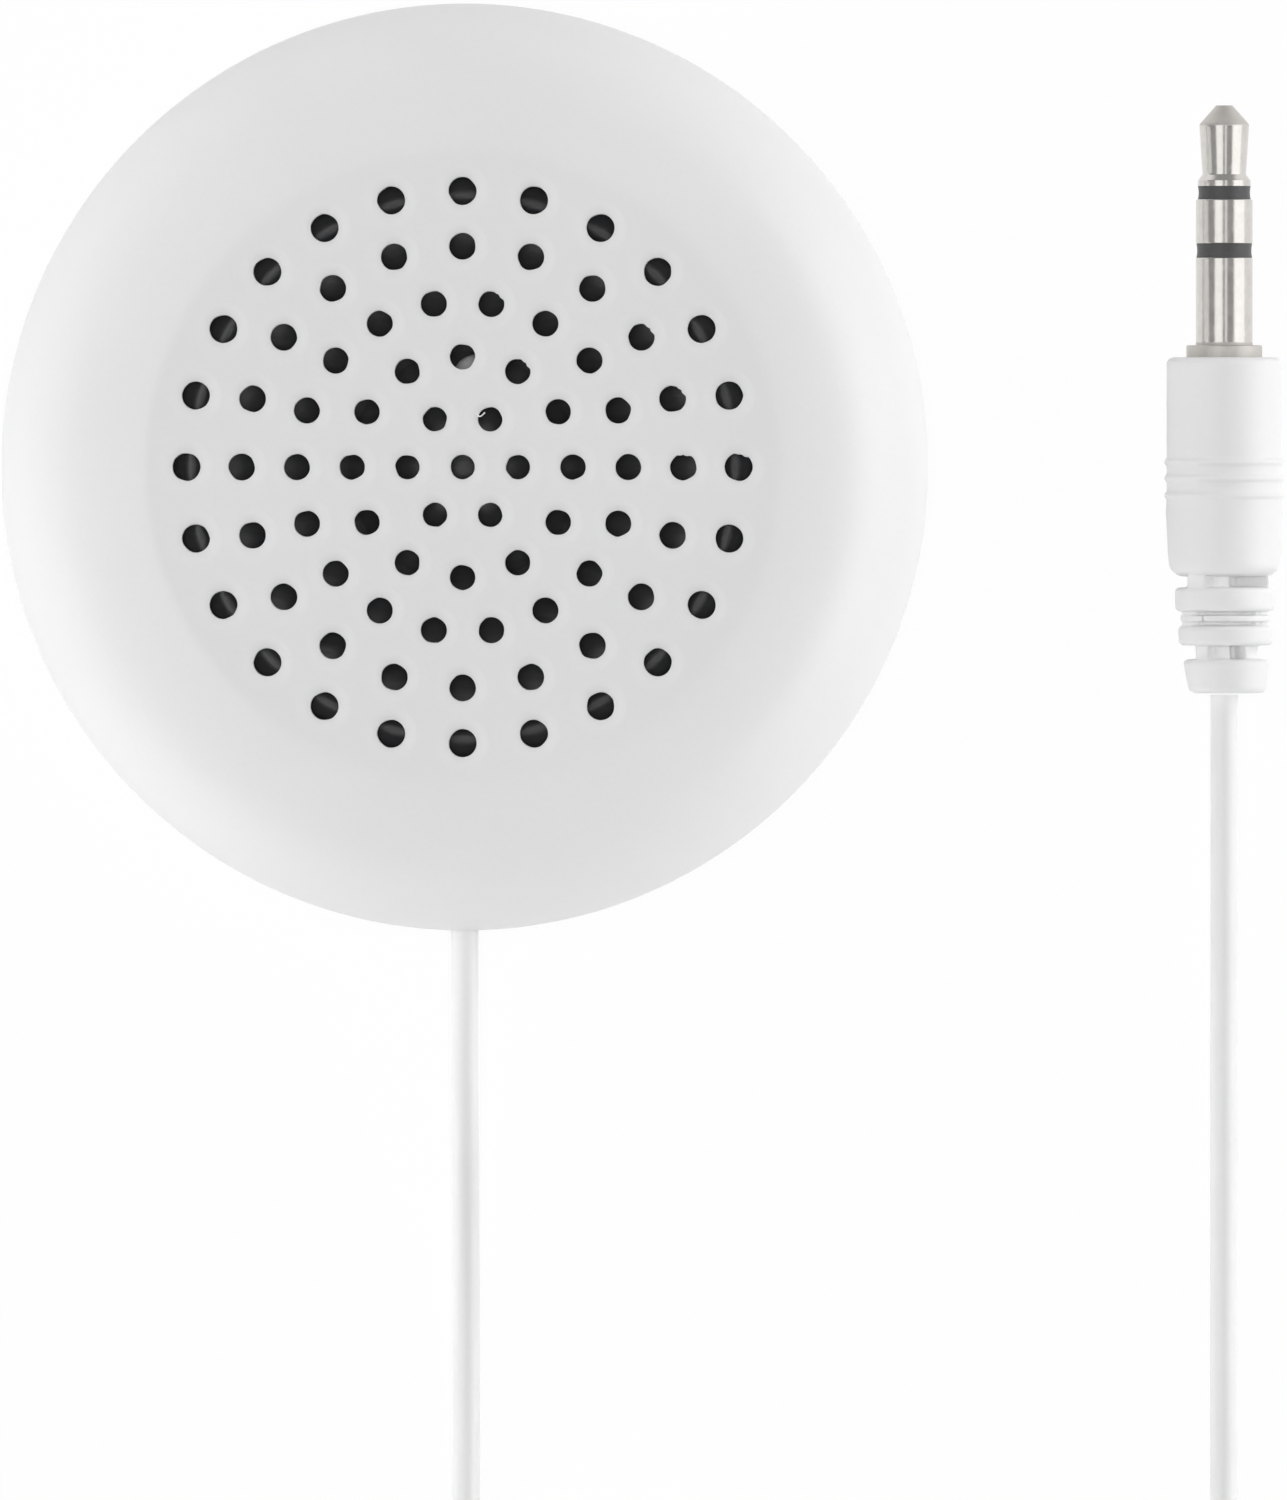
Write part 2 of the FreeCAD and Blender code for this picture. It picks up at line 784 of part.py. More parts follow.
def plug_tip():
    end = plug_front + tip_length
    rod = rod_diameter / 2
    return turned([
        (0, end, 0),
        (tip_flat_diameter / 2, end, tip_nose_round),
        (tip_head_diameter / 2, end - tip_cone_length, tip_head_round),
        (tip_waist_diameter / 2, end - tip_waist_from_end, tip_waist_round),
        (tip_foot_diameter / 2, plug_front + tip_foot_length, tip_foot_round),
        (tip_foot_diameter / 2, plug_front, 0),
        (rod, plug_front, 0),
        (rod, rear_levels()[4], 0),
        (0, rear_levels()[4], 0),
    ])


def grip_outline():
    """Corners of the moulding from its front face back to the cord, at its outer surface."""
    front = -flange_length
    grip = grip_diameter / 2
    corners = [(0, front, 0), (grip, front, grip_front_round)]
    half = grip_rib_width / 2
    for place in grip_rib_places:
        corners.append((grip, front - place + half, 0))
        corners.append((grip + grip_rib_height, front - place, grip_rib_width / 4))
        corners.append((grip, front - place - half, 0))
    corners.append((grip_swell_diameter / 2, front - grip_swell_place, 0))
    corners.append((grip_taper_diameter / 2, front - grip_taper_place, 0))
    corners.append((grip_end_diameter / 2, front - grip_length, grip_end_round))
    level = front - grip_length
    sizes = zip(relief_ring_diameters, relief_ring_lengths, relief_neck_diameters, relief_gaps)
    for ring_diameter, ring_length_here, neck_diameter, gap in sizes:
        corners.append((neck_diameter / 2, level, relief_neck_round))
        level -= gap
        corners.append((neck_diameter / 2, level, relief_neck_round))
        corners.append((ring_diameter / 2, level, relief_ring_round))
        level -= ring_length_here
        corners.append((ring_diameter / 2, level, relief_ring_round))
    # The last ring tapers towards the cord and has a softer end.
    corners[-1] = (relief_end_diameter / 2, level, relief_end_round)
    corners.append((0, level, 0))
    return corners


def relief_windows():
    """Slots through each neck, past the core, turned a quarter from one neck to the next."""
    windows = []
    level = -flange_length - grip_length
    reach = grip_diameter
    quarter = 0
    sizes = zip(relief_ring_lengths, relief_neck_diameters, relief_gaps, relief_web_shares)
    for ring_length_here, neck_diameter, gap, share in sizes:
        width = neck_diameter * share
        corner = Vector(-width / 2, -reach / 2, level - gap)
        slot = Part.makeBox(width, reach, gap, corner)
        core = cylinder(relief_core_diameter / 2, level - gap, level)
        window = slot.cut(core)
        window.rotate(Vector(0, 0, 0), UP, relief_turn + quarter)
        windows.append(window)
        level -= gap + ring_length_here
        quarter = 90 - quarter
    return windows


def plug_moulding():
    body = turned(grip_outline())
    shank = cylinder(contact_radius, rear_levels()[0], 0)
    inserts = [plug_sleeve(), plug_insulator_rear(), plug_ring(), plug_insulator_front(), plug_tip(), shank]
    body = body.cut(fused(inserts))
    return one_solid(body.cut(Part.Compound(relief_windows())))


os.makedirs("parts", exist_ok=True)
write("front_shell", [front_shell()])
write("back_shell", [back_shell()])
write("shell_screws", shell_screws())
write("driver_gasket", [driver_gasket()])
write("diaphragm", [diaphragm()])
write("voice_coil_former", [voice_coil_former()])
write("voice_coil_winding", [voice_coil_winding()])
write("driver_basket", [driver_basket()])
write("magnet_cup", [magnet_cup()])
write("magnet", [magnet()])
write("pole_plate", [pole_plate()])
write("rear_foam_pad", [rear_foam_pad()])
write("terminal_board", [terminal_board()])
write("terminal_tags", terminal_tags())
write("solder_joints", solder_joints())
write("lead_wire_left", [lead_wire(-1)])
write("lead_wire_right", [lead_wire(1)])
write("coil_lead_wires", coil_lead_wires())
write("glue_dot", [glue_dot()])
write("cord_tie", [cord_tie()])
write("cord_speaker_run", [cord_speaker_run()])
write("cord_coil", [cord_coil()])
write("coil_tie", [coil_tie()])
write("cord_plug_run", [cord_plug_run()])
write("plug_moulding", [laid(plug_moulding())])
write("plug_sleeve", [laid(plug_sleeve())])
write("plug_insulator_rear", [laid(plug_insulator_rear())])
write("plug_ring", [laid(plug_ring())])
write("plug_insulator_front", [laid(plug_insulator_front())])
write("plug_tip", [laid(plug_tip())])
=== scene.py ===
# %% [markdown]
# # A white pillow speaker with its cord and jack plug
#
# The object is a flat round loudspeaker, 57 mm across and 17 mm thick, that lies under a pillow.
# Its two-part housing is white ABS with 81 sound holes. A thin white cord leaves the rim and ends
# in a moulded 3.5 mm stereo plug.
#
# The construction comes packed as a fixed frame of 30 pieces. This lesson dresses it: it gives every
# piece a finish, and it models again the pieces whose look needs soft edges, which are the front
# shell, the cord, its tie and the plug's moulding. All lengths are metres.

# %% Load the frame
import bmesh
import bpy
import math
import random
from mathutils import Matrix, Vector


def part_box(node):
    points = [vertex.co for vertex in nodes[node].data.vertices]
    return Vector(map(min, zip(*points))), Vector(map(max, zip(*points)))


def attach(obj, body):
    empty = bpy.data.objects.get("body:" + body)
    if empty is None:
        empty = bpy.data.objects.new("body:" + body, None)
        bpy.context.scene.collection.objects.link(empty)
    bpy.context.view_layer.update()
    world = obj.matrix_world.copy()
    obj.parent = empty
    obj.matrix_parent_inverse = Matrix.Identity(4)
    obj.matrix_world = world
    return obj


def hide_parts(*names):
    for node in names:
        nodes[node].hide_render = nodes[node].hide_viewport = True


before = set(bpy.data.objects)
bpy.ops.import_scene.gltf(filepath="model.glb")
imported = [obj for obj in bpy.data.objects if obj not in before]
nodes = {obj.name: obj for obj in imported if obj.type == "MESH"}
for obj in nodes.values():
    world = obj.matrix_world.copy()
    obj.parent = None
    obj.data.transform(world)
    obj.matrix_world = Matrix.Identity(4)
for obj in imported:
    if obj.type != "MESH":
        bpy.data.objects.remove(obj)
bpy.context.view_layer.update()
print("pieces in the frame:", len(nodes))

# %% [markdown]
# The drawings of such small things are in millimetres and Blender works in metres, so one helper
# turns one into the other. A second helper leaves nothing selected, because an operator acts on
# everything that is selected and the frame's pieces arrive selected.


# %% Small helpers
def mm(*lengths):
    metres = [length / 1000 for length in lengths]
    return metres[0] if len(metres) == 1 else Vector(metres)


def select_nothing():
    if bpy.context.mode != "OBJECT":
        bpy.ops.object.mode_set(mode="OBJECT")
    bpy.ops.object.select_all(action="DESELECT")


select_nothing()
print("one millimetre is", mm(1), "metres")

# %% [markdown]
# ## The camera
#
# The photograph looks down on the speaker, with next to no perspective. A long lens two metres up
# gives that view. One pixel of the photograph is 0.0615 mm of the object, so the picture's size in
# pixels gives the width that the lens has to frame. The face's holes lie a little left of the rim's
# middle, as they do when the camera stands right of it, so it stands there and leans by half a degree.

# %% The camera
photo_width, photo_height = 1287, 1500
pixel_size = mm(0.0615)
housing_pixel = (464.8, 467.1)
camera_place = mm(29.8, 0, 2000)
rim_level = mm(7.5)
sensor_size = 36

view_height = photo_height * pixel_size
view_centre_x = (photo_width / 2 - housing_pixel[0]) * pixel_size
view_centre_y = (housing_pixel[1] - photo_height / 2) * pixel_size
view_centre = Vector((view_centre_x, view_centre_y, rim_level))
line_of_sight = view_centre - camera_place
lean_y = math.asin(line_of_sight.y / line_of_sight.length)
lean_x = math.atan2(-line_of_sight.x, -line_of_sight.z)
bpy.ops.object.camera_add(location=camera_place, rotation=(lean_y, lean_x, 0))
camera = bpy.context.object
camera.name = "camera"
camera.data.sensor_width = sensor_size
camera.data.lens = sensor_size * line_of_sight.length / view_height
camera.data.clip_end = 10
bpy.context.scene.camera = camera
print("lens", round(camera.data.lens, 1), "mm over a view", round(view_height * 1000, 1), "mm high")

# %% [markdown]
# ## The cord
#
# The real cord is 1.1 m of white PVC, 1.7 mm thick. The photograph shows it straight where it leaves
# the speaker and straight where it reaches the plug, and nothing of what lies between. That middle
# is put away in a small tied coil below the picture's lower edge.
#
# One smooth curve follows the whole route. Its points are listed one by one on the free stretches, and
# a loop winds the coil: four layers of almost four turns, wound inwards and outwards by turns, so
# that each turn lies beside or on its neighbour. A curve through sixteen points a turn runs a little
# inside them, so the points stand that much further out. The thickness is given as the radius of
# each point, on a round section of one metre, because Blender measures a curve's box with that radius.

# %% The cord's route
cord_diameter = mm(1.7)
coil_centre = mm(11.9, -80, 0)
coil_inner_radius, coil_outer_radius = mm(6.62), mm(13.10)
coil_layers = 4
turns_in_layer = 3.8125
coil_floor = mm(0.3) + cord_diameter / 2
points_in_turn = 16
climb_share = 0.05

speaker_run = [mm(0, -22, 7.5), mm(0, -29.5, 7.5), mm(0, -36.5, 7.2), mm(0, -44, 3.4)]
speaker_run += [mm(0, -53, 0.85), mm(0, -67, 0.85), mm(-0.9, -75.5, 1.0)]
plug_run = [mm(22.5, -93.3, 4.2), mm(33, -91.2, 0.85), mm(41, -86, 0.85), mm(45.8, -78.5, 0.85)]
plug_run += [mm(46.73, -70, 0.85), mm(46.73, -61, 0.85), mm(46.73, -37, 0.85)]
plug_run += [mm(46.73, -23, 3.7), mm(46.73, -13.93, 3.7)]


def coil_point(step):
    """Place on the coil after a number of steps, from the bottom outer turn to the top outer one."""
    turns = step / points_in_turn
    layer, share = divmod(turns / turns_in_layer, 1)
    if layer == coil_layers:
        layer, share = coil_layers - 1, 1.0
    inwards = share if layer % 2 == 0 else 1 - share
    radius = coil_outer_radius - inwards * (coil_outer_radius - coil_inner_radius)
    radius /= math.cos(math.pi / points_in_turn) * 0.5 + 0.5
    angle = math.pi + turns * 2 * math.pi
    climb = 0.0
    if layer < coil_layers - 1 and share > 1 - climb_share:
        climb = (share - 1 + climb_share) / climb_share / 2
    if layer > 0 and share < climb_share:
        climb = (share / climb_share - 1) / 2
    height = coil_floor + (layer + climb) * cord_diameter
    return coil_centre + Vector((radius * math.cos(angle), radius * math.sin(angle), height))


coil_steps = round(points_in_turn * turns_in_layer * coil_layers)
coil_run = [coil_point(step) for step in range(coil_steps + 1)]
route = speaker_run + coil_run + plug_run
print("points in the route:", len(route), "of which in the coil:", len(coil_run))

# %% The cord
cord_curve = bpy.data.curves.new("cord", "CURVE")
cord_curve.dimensions = "3D"
cord_curve.resolution_u = 8
cord_curve.bevel_depth = 1.0
cord_curve.bevel_resolution = 8
cord_curve.use_fill_caps = True
spline = cord_curve.splines.new("NURBS")
spline.points.add(len(route) - 1)
for point, place in zip(spline.points, route):
    point.co = (*place, 1)
    point.radius = cord_diameter / 2
spline.order_u = 3
spline.use_endpoint_u = True
cord = bpy.data.objects.new("cord", cord_curve)
bpy.context.collection.objects.link(cord)
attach(cord, "root")
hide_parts("cord_speaker_run", "cord_coil", "cord_plug_run")
print("the cord measures", round(spline.calc_length(), 3), "m")

# %% [markdown]
# ## Turned forms and cuts
#
# Most of this object is round: the housing, its holes and the plug. Such a form could be lofted from
# circles, but it is less work to draw half of its section once and turn it about the axis, which
# Blender's Spin does. The outline starts as one corner of a plane and grows by extruding that corner
# from point to point. Where it starts and ends on the axis, the turned form is closed.
#
# Holes and bosses are then cut or added with exact booleans, as a toolmaker would sink pins into the
# mould.


# %% Picking, opening and joining pieces
def pick(piece):
    """Leaves one piece selected and active."""
    select_nothing()
    bpy.context.view_layer.objects.active = piece
    piece.select_set(True)


def open_piece(piece):
    """Opens one piece in edit mode with nothing selected in it."""
    pick(piece)
    bpy.ops.object.mode_set(mode="EDIT")
    bpy.ops.mesh.select_mode(type="VERT")
    bpy.ops.mesh.select_all(action="DESELECT")


def set_in_place(piece):
    """Moves the piece's place and turn into its mesh."""
    pick(piece)
    bpy.ops.object.transform_apply(location=True, rotation=True, scale=True)


def join(pieces):
    """Joins pieces into the first of them."""
    select_nothing()
    for piece in pieces:
        piece.select_set(True)
    bpy.context.view_layer.objects.active = pieces[0]
    bpy.ops.object.join()


print("pieces can be picked, opened, set in place and joined")


# %% Outlines and turned forms
def arc(centre_radius, centre_height, size, start, end, steps):
    """Points of an arc in an outline, from one angle in degrees to another."""
    angles = [math.radians(start + (end - start) * step / steps) for step in range(steps + 1)]
    return [(centre_radius + size * math.cos(a), centre_height + size * math.sin(a)) for a in angles]


def polar(radius, angle):
    """Place at a radius and an angle in degrees."""
    return Vector((radius * math.cos(math.radians(angle)), radius * math.sin(math.radians(angle)), 0))


def turned(name, outline, steps):
    """Piece made by turning an outline of radii and heights about the Z axis."""
    plane_size = mm(2)
    select_nothing()
    bpy.ops.mesh.primitive_plane_add(size=plane_size)
    piece = bpy.context.object
    piece.name = name
    piece.data.name = name
    open_piece(piece)
    mesh = bmesh.from_edit_mesh(piece.data)
    mesh.verts.ensure_lookup_table()
    for corner in mesh.verts[1:]:
        corner.select_set(True)
    bpy.ops.mesh.delete(type="VERT")
    bpy.ops.mesh.select_all(action="SELECT")
    first_radius, first_height = outline[0]
    bpy.ops.transform.translate(value=(first_radius + plane_size / 2, plane_size / 2, first_height))
    for before, after in zip(outline, outline[1:]):
        step = (after[0] - before[0], 0, after[1] - before[1])
        bpy.ops.mesh.extrude_region_move(TRANSFORM_OT_translate={"value": step})
    bpy.ops.mesh.select_all(action="SELECT")
    bpy.ops.mesh.spin(steps=steps, angle=2 * math.pi, center=(0, 0, 0), axis=(0, 0, 1))
    bpy.ops.mesh.select_all(action="SELECT")
    bpy.ops.mesh.remove_doubles(threshold=mm(0.0002))
    bpy.ops.mesh.normals_make_consistent(inside=False)
    bpy.ops.object.mode_set(mode="OBJECT")
    return piece


print("points in a quarter arc of eight steps:", len(arc(0, 0, mm(1), 0, 90, 8)))


# %% Copies, cuts and smooth shading
def copies_at(piece, places):
    """Repeats a piece in its own mesh, once for each place."""
    open_piece(piece)
    bpy.ops.mesh.select_all(action="SELECT")
    bpy.ops.transform.translate(value=places[0])
    for before, after in zip(places, places[1:]):
        bpy.ops.mesh.duplicate_move(TRANSFORM_OT_translate={"value": after - before})
    bpy.ops.object.mode_set(mode="OBJECT")


def combine(piece, other, operation):
    """Adds the other piece to the first, cuts it out or keeps what they share."""
    pick(piece)
    modifier = piece.modifiers.new("combine", "BOOLEAN")
    modifier.operation = operation
    modifier.solver = "EXACT"
    modifier.object = other
    bpy.ops.object.modifier_apply(modifier=modifier.name)
    bpy.data.objects.remove(other)


def soften(piece, sharp_angle):
    """Shades a piece smooth, apart from edges above an angle in degrees."""
    pick(piece)
    bpy.ops.object.shade_smooth_by_angle(angle=math.radians(sharp_angle))
    modifier = piece.modifiers.new("weigh", "WEIGHTED_NORMAL")
    modifier.keep_sharp = True
    bpy.ops.object.modifier_apply(modifier=modifier.name)


def count_triangles(piece):
    return sum(len(face.vertices) - 2 for face in piece.data.polygons)


print("the bench is ready")

# %% [markdown]
# ## The front shell
#
# The front half is an injection moulding in white ABS: a flat face, a wide soft rim, a seat and a
# collar for the loudspeaker inside, three screw bosses and a lip that enters the back half. Its wall
# is 1.6 mm. Turned from one section, face, seat, collar and lip are one closed skin from the start.
#
# The parting edge gets a small round, so that the seam shows as a fine line all round.

# %% Sizes of the front shell
front_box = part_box("front_shell")
housing_radius = front_box[1].x
housing_top = front_box[1].z
lip_under = front_box[0].z
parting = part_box("back_shell")[1].z
front_edge = housing_top - parting
face_radius = housing_radius - front_edge
wall = mm(1.6)
inner_radius = housing_radius - wall
inner_edge = front_edge - wall
face_under = housing_top - wall
lip_thickness = mm(0.7)
seat_inner, collar_inner, collar_outer = mm(18), mm(20.15), mm(21.35)
seat_under, collar_under = mm(14), mm(11.8)
seam_round = mm(0.1)
ease_depth, ease_share = mm(0.22), 0.55
rim_steps = 20
turning_steps = 192

collar_angle = math.degrees(math.acos((collar_outer - face_radius) / inner_edge))


def rim_height(radius):
    """Height of the front's rim at a radius: a quarter circle, a little lower where the face ends."""
    across = (radius - face_radius) / front_edge
    circle = math.sqrt(max(0.0, 1 - across ** 2)) * front_edge
    dip = ease_depth * math.sin(math.pi * across / ease_share) if across < ease_share else 0
    return parting + circle - dip


rim_angles = [math.radians(90 - 89 * step / rim_steps) for step in range(rim_steps + 1)]
rim_radii = [face_radius + front_edge * math.cos(angle) for angle in rim_angles]
front_outline = [(0, housing_top)] + [(radius, rim_height(radius)) for radius in rim_radii]
front_outline += arc(housing_radius - seam_round, parting + seam_round, seam_round, 0, -90, 3)
lip_radius = inner_radius + lip_thickness
front_outline += [(lip_radius, parting), (lip_radius, lip_under + seam_round)]
front_outline += [(lip_radius - seam_round, lip_under), (inner_radius, lip_under)]
front_outline += arc(face_radius, parting, inner_edge, 0, collar_angle, rim_steps)
front_outline += [(collar_outer, collar_under), (collar_inner, collar_under), (collar_inner, seat_under)]
front_outline += [(seat_inner, seat_under), (seat_inner, face_under), (0, face_under)]
print("points in the front's section:", len(front_outline))

# %% The front's skin
front = turned("front_housing", front_outline, turning_steps)
open_piece(front)
for level in (housing_top, face_under):
    bpy.ops.mesh.select_all(action="DESELECT")
    mesh = bmesh.from_edit_mesh(front.data)
    for face in mesh.faces:
        middle = face.calc_center_median()
        flat_here = abs(middle.z - level) < mm(0.001)
        face.select_set(flat_here and math.hypot(middle.x, middle.y) < face_radius)
    bmesh.update_edit_mesh(front.data)
    bpy.ops.mesh.dissolve_faces()
bpy.ops.object.mode_set(mode="OBJECT")
print("faces in the skin:", len(front.data.polygons))

# %% [markdown]
# The screw bosses are pins that end in the face's slope. They are trimmed by the housing's own form,
# drawn a little smaller, so that they end inside the wall and nothing shows outside.

# %% The screw bosses
boss_circle = (collar_outer + inner_radius) / 2
boss_radius = mm(2.3)
boss_angles = [90, 210, 330]
boss_places = [polar(boss_circle, angle) for angle in boss_angles]
trim = wall / 2
pin_steps = 48

boss_outline = [(0, parting), (boss_radius, parting), (boss_radius, housing_top), (0, housing_top)]
bosses = turned("bosses", boss_outline, pin_steps)
copies_at(bosses, boss_places)
trim_outline = [(0, housing_top - trim)] + arc(face_radius, parting, front_edge - trim, 90, 0, rim_steps)
trim_outline += [(housing_radius - trim, lip_under), (0, lip_under)]
combine(bosses, turned("trim", trim_outline, turning_steps), "INTERSECT")
combine(front, bosses, "UNION")
print("faces with bosses:", len(front.data.polygons))

# %% [markdown]
# ## The sound holes
#
# One hole stands in the middle, with rings of 6, 12, 18, 20 and 24 round it. The holes grow towards
# the rim. The photograph shows a slim bright lip at each hole and soft light left and right of it:
# the plastic has shrunk round each pin of the mould, so that each mouth lies in a very shallow dish.
# So the pin that cuts a hole widens at its top by a small round and then by a dish that is only a
# sixth of a millimetre deep.

# %% The pins that cut the holes
hole_pitch = mm(3.38)
hole_rings = [(1, mm(0.75)), (6, mm(0.75)), (12, mm(0.78))]
hole_rings += [(18, mm(0.80)), (20, mm(0.82)), (24, mm(0.86))]
lip_round = mm(0.08)
dish = [(mm(0.1), mm(0.17)), (mm(0.24), mm(0.12)), (mm(0.42), mm(0.065)), (mm(0.63), mm(0.022))]
dish.append((mm(0.83), mm(-0.001)))
hole_steps = 40


def hole_pins(ring):
    """Pins with widened tops, one for each hole of a ring."""
    count, radius = hole_rings[ring]
    outline = [(0, face_under - wall), (radius, face_under - wall)]
    outline += arc(radius + lip_round, housing_top - dish[0][1] - lip_round, lip_round, 180, 115, 4)
    outline += [(radius + width, housing_top - depth) for width, depth in dish]
    outline += [(radius + dish[-1][0], housing_top + wall), (0, housing_top + wall)]
    pins = turned("pins", outline, hole_steps)
    copies_at(pins, [polar(ring * hole_pitch, 360 * step / count) for step in range(count)])
    return pins


pin_rings = [hole_pins(ring) for ring in range(len(hole_rings))]
print("holes:", sum(count for count, radius in hole_rings))

# %% [markdown]
# The moulding isn't perfect: hardly a hole is truly round. Six carry a plain burr that stands into
# the opening by about a tenth of a millimetre, and the others have one or two slight flats. A burr
# is where the pin is worn, so each pin's corners are pulled in over short stretches of its round.
# Each copy of a pin keeps its corners together in the mesh, one copy after the other.

# %% Burrs
burrs = {(2, 2): 45, (3, 4): 50, (4, 0): 90, (4, 1): 45, (4, 2): 45, (5, 0): 75}
burr_bumps = [(-13, mm(0.13), 17), (13, mm(0.1), 15)]
flat_depth, flat_half_angle, flats_tried = mm(0.045), 24, 3
mark_fullness = 0.7
random.seed(81)


def wear_pin(corners, centre, radius, marks):
    """Pulls in the corners of one pin at each mark, which has a direction, a depth and a half angle."""
    for corner in corners:
        offset = corner.co - centre
        offset.z = 0
        if offset.length < radius / 2 or offset.length > radius + lip_round:
            continue
        angle = math.degrees(math.atan2(offset.y, offset.x))
        depth_here = 0
        for direction, depth, half_angle in marks:
            turn = abs((angle - direction + 180) % 360 - 180)
            if turn < half_angle:
                share = math.cos(math.radians(90 * turn / half_angle)) ** mark_fullness
                depth_here = max(depth_here, depth * share)
        corner.co -= offset.normalized() * depth_here


for ring, pins in enumerate(pin_rings):
    count, radius = hole_rings[ring]
    corners = pins.data.vertices
    share = len(corners) // count
    for step in range(count):
        marks = [(random.uniform(0, 360), flat_depth * random.uniform(0.2, 1), flat_half_angle)
                 for _ in range(flats_tried)]
        if (ring, step) in burrs:
            marks += [(burrs[ring, step] + turn, depth, half) for turn, depth, half in burr_bumps]
        centre = polar(ring * hole_pitch, 360 * step / count)
        wear_pin(corners[step * share:(step + 1) * share], centre, radius, marks)
print("plain burrs:", len(burrs))

# %% [markdown]
# The screws' pilot holes and the hole for the cord are cut at the same time, so that one boolean
# makes all openings.

# %% All openings of the front
pilot_radius, pilot_top = mm(1), mm(11.4)
pilot_steps = 32
cord_hole_radius = mm(0.95)
pilot_under = lip_under - wall
pilot_outline = [(0, pilot_under), (pilot_radius, pilot_under)]
pilot_outline += [(pilot_radius, pilot_top), (0, pilot_top)]
pilots = turned("pilots", pilot_outline, pilot_steps)
copies_at(pilots, boss_places)


def cord_hole_pin():
    """Pin along -Y that cuts the cord's hole through the rim."""
    start, end = collar_outer, housing_radius + wall
    outline = [(0, start), (cord_hole_radius, start), (cord_hole_radius, end), (0, end)]
    pin = turned("cord hole", outline, pin_steps)
    pin.rotation_euler.x = math.radians(90)
    pin.location.z = parting
    set_in_place(pin)
    return pin


cutters = pin_rings + [pilots, cord_hole_pin()]
join(cutters)
combine(front, cutters[0], "DIFFERENCE")
soften(front, 32)
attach(front, "root")
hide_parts("front_shell")
print("triangles in the front shell:", count_triangles(front))

# %% [markdown]
# A short fibre of white lint has caught on the edge of one hole of the first ring. It is a bent thread,
# so it is drawn as a curve with a round section, and turned into a mesh.


# %% Threads and strips
def thread(name, path, radius, half_width=0.0, closed=False):
    """Thread along a path, or a flat strip where it gets a width, as a closed mesh."""
    curve = bpy.data.curves.new(name, "CURVE")
    curve.dimensions = "3D"
    curve.resolution_u = 6
    curve.bevel_depth = radius
    curve.bevel_resolution = 3
    curve.extrude = half_width
    curve.use_fill_caps = True
    spline = curve.splines.new("POLY" if closed else "NURBS")
    spline.points.add(len(path) - 1)
    for point, place in zip(spline.points, path):
        point.co = (*place, 1)
    spline.order_u = 3
    spline.use_endpoint_u = True
    spline.use_cyclic_u = closed
    piece = bpy.data.objects.new(name, curve)
    bpy.context.collection.objects.link(piece)
    pick(piece)
    bpy.ops.object.convert(target="MESH")
    open_piece(piece)
    bpy.ops.mesh.select_all(action="SELECT")
    bpy.ops.mesh.remove_doubles(threshold=mm(0.001))
    bpy.ops.mesh.normals_make_consistent(inside=False)
    bpy.ops.object.mode_set(mode="OBJECT")
    return piece


print("threads and strips can be drawn")

# %% The fibre
fibre_path = [mm(0.90, 3.21, 16.93), mm(0.98, 3.12, 16.97), mm(1.10, 3.10, 16.92), mm(1.24, 3.20, 16.90)]
fibre_path.append(mm(1.37, 3.34, 16.86))
fibre = thread("fibre", fibre_path, mm(0.045))
soften(fibre, 60)
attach(fibre, "root")
print("corners in the fibre:", len(fibre.data.vertices))

# %% [markdown]
# ## The wire tie
#
# A flat PVC strip with a wire in it holds the coil together. It goes once round the bundle and ends in
# two twisted tails on top. The loop is drawn flat, given its width and stood upright.

# %% The wire tie
strip_radius, strip_half_width = mm(0.15), mm(1.0)
tie_angle = 20
tie_inner, tie_outer = coil_inner_radius - mm(1), coil_outer_radius + mm(1)
tie_low, tie_high = mm(0.15), mm(0.45) + coil_layers * cord_diameter
corner = mm(1)
tail_radius, tail_turn_radius, tail_top = mm(0.36), mm(0.32), mm(9.75)
tail_steps, tail_turn = 24, 40

right, left = tie_outer - corner, tie_inner + corner
upper, lower = tie_high - corner, tie_low + corner
loop = []
for across, height, start in ((right, upper, 0), (left, upper, 90),
                              (left, lower, 180), (right, lower, 270)):
    loop += [(x, y, 0) for x, y in arc(across, height, corner, start, start + 90, 8)]
tie = thread("wire_tie", loop, strip_radius, strip_half_width, closed=True)
tie.rotation_euler = (math.radians(90), 0, math.radians(tie_angle))
tie.location = coil_centre
set_in_place(tie)
tail_foot = coil_centre + polar((coil_inner_radius + coil_outer_radius) / 2, tie_angle)
tails = []
for start in (0, 180):
    path = []
    for step in range(tail_steps + 1):
        rise = tie_high + (tail_top - tie_high) * step / tail_steps
        path.append(tail_foot + polar(tail_turn_radius, start + tail_turn * step) + Vector((0, 0, rise)))
    tails.append(thread("tail", path, tail_radius))
join([tie] + tails)
soften(tie, 60)
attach(tie, "root")
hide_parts("coil_tie")
print("corners in the tie:", len(tie.data.vertices))

# %% [markdown]
# ## The plug's moulding
#
# A soft white PVC is injected round the metal plug and the end of the cord. Its front is a grip with
# three faint ribs. Behind it, three rings on a thin core let the cord bend without a kink: pockets
# between the rings leave webs that join each ring to the next.
#
# The grip is a turned form, and it is made as the housing was. It stands on the Z axis here, with the
# face that stops against a socket at height zero, and is laid down when it is finished.

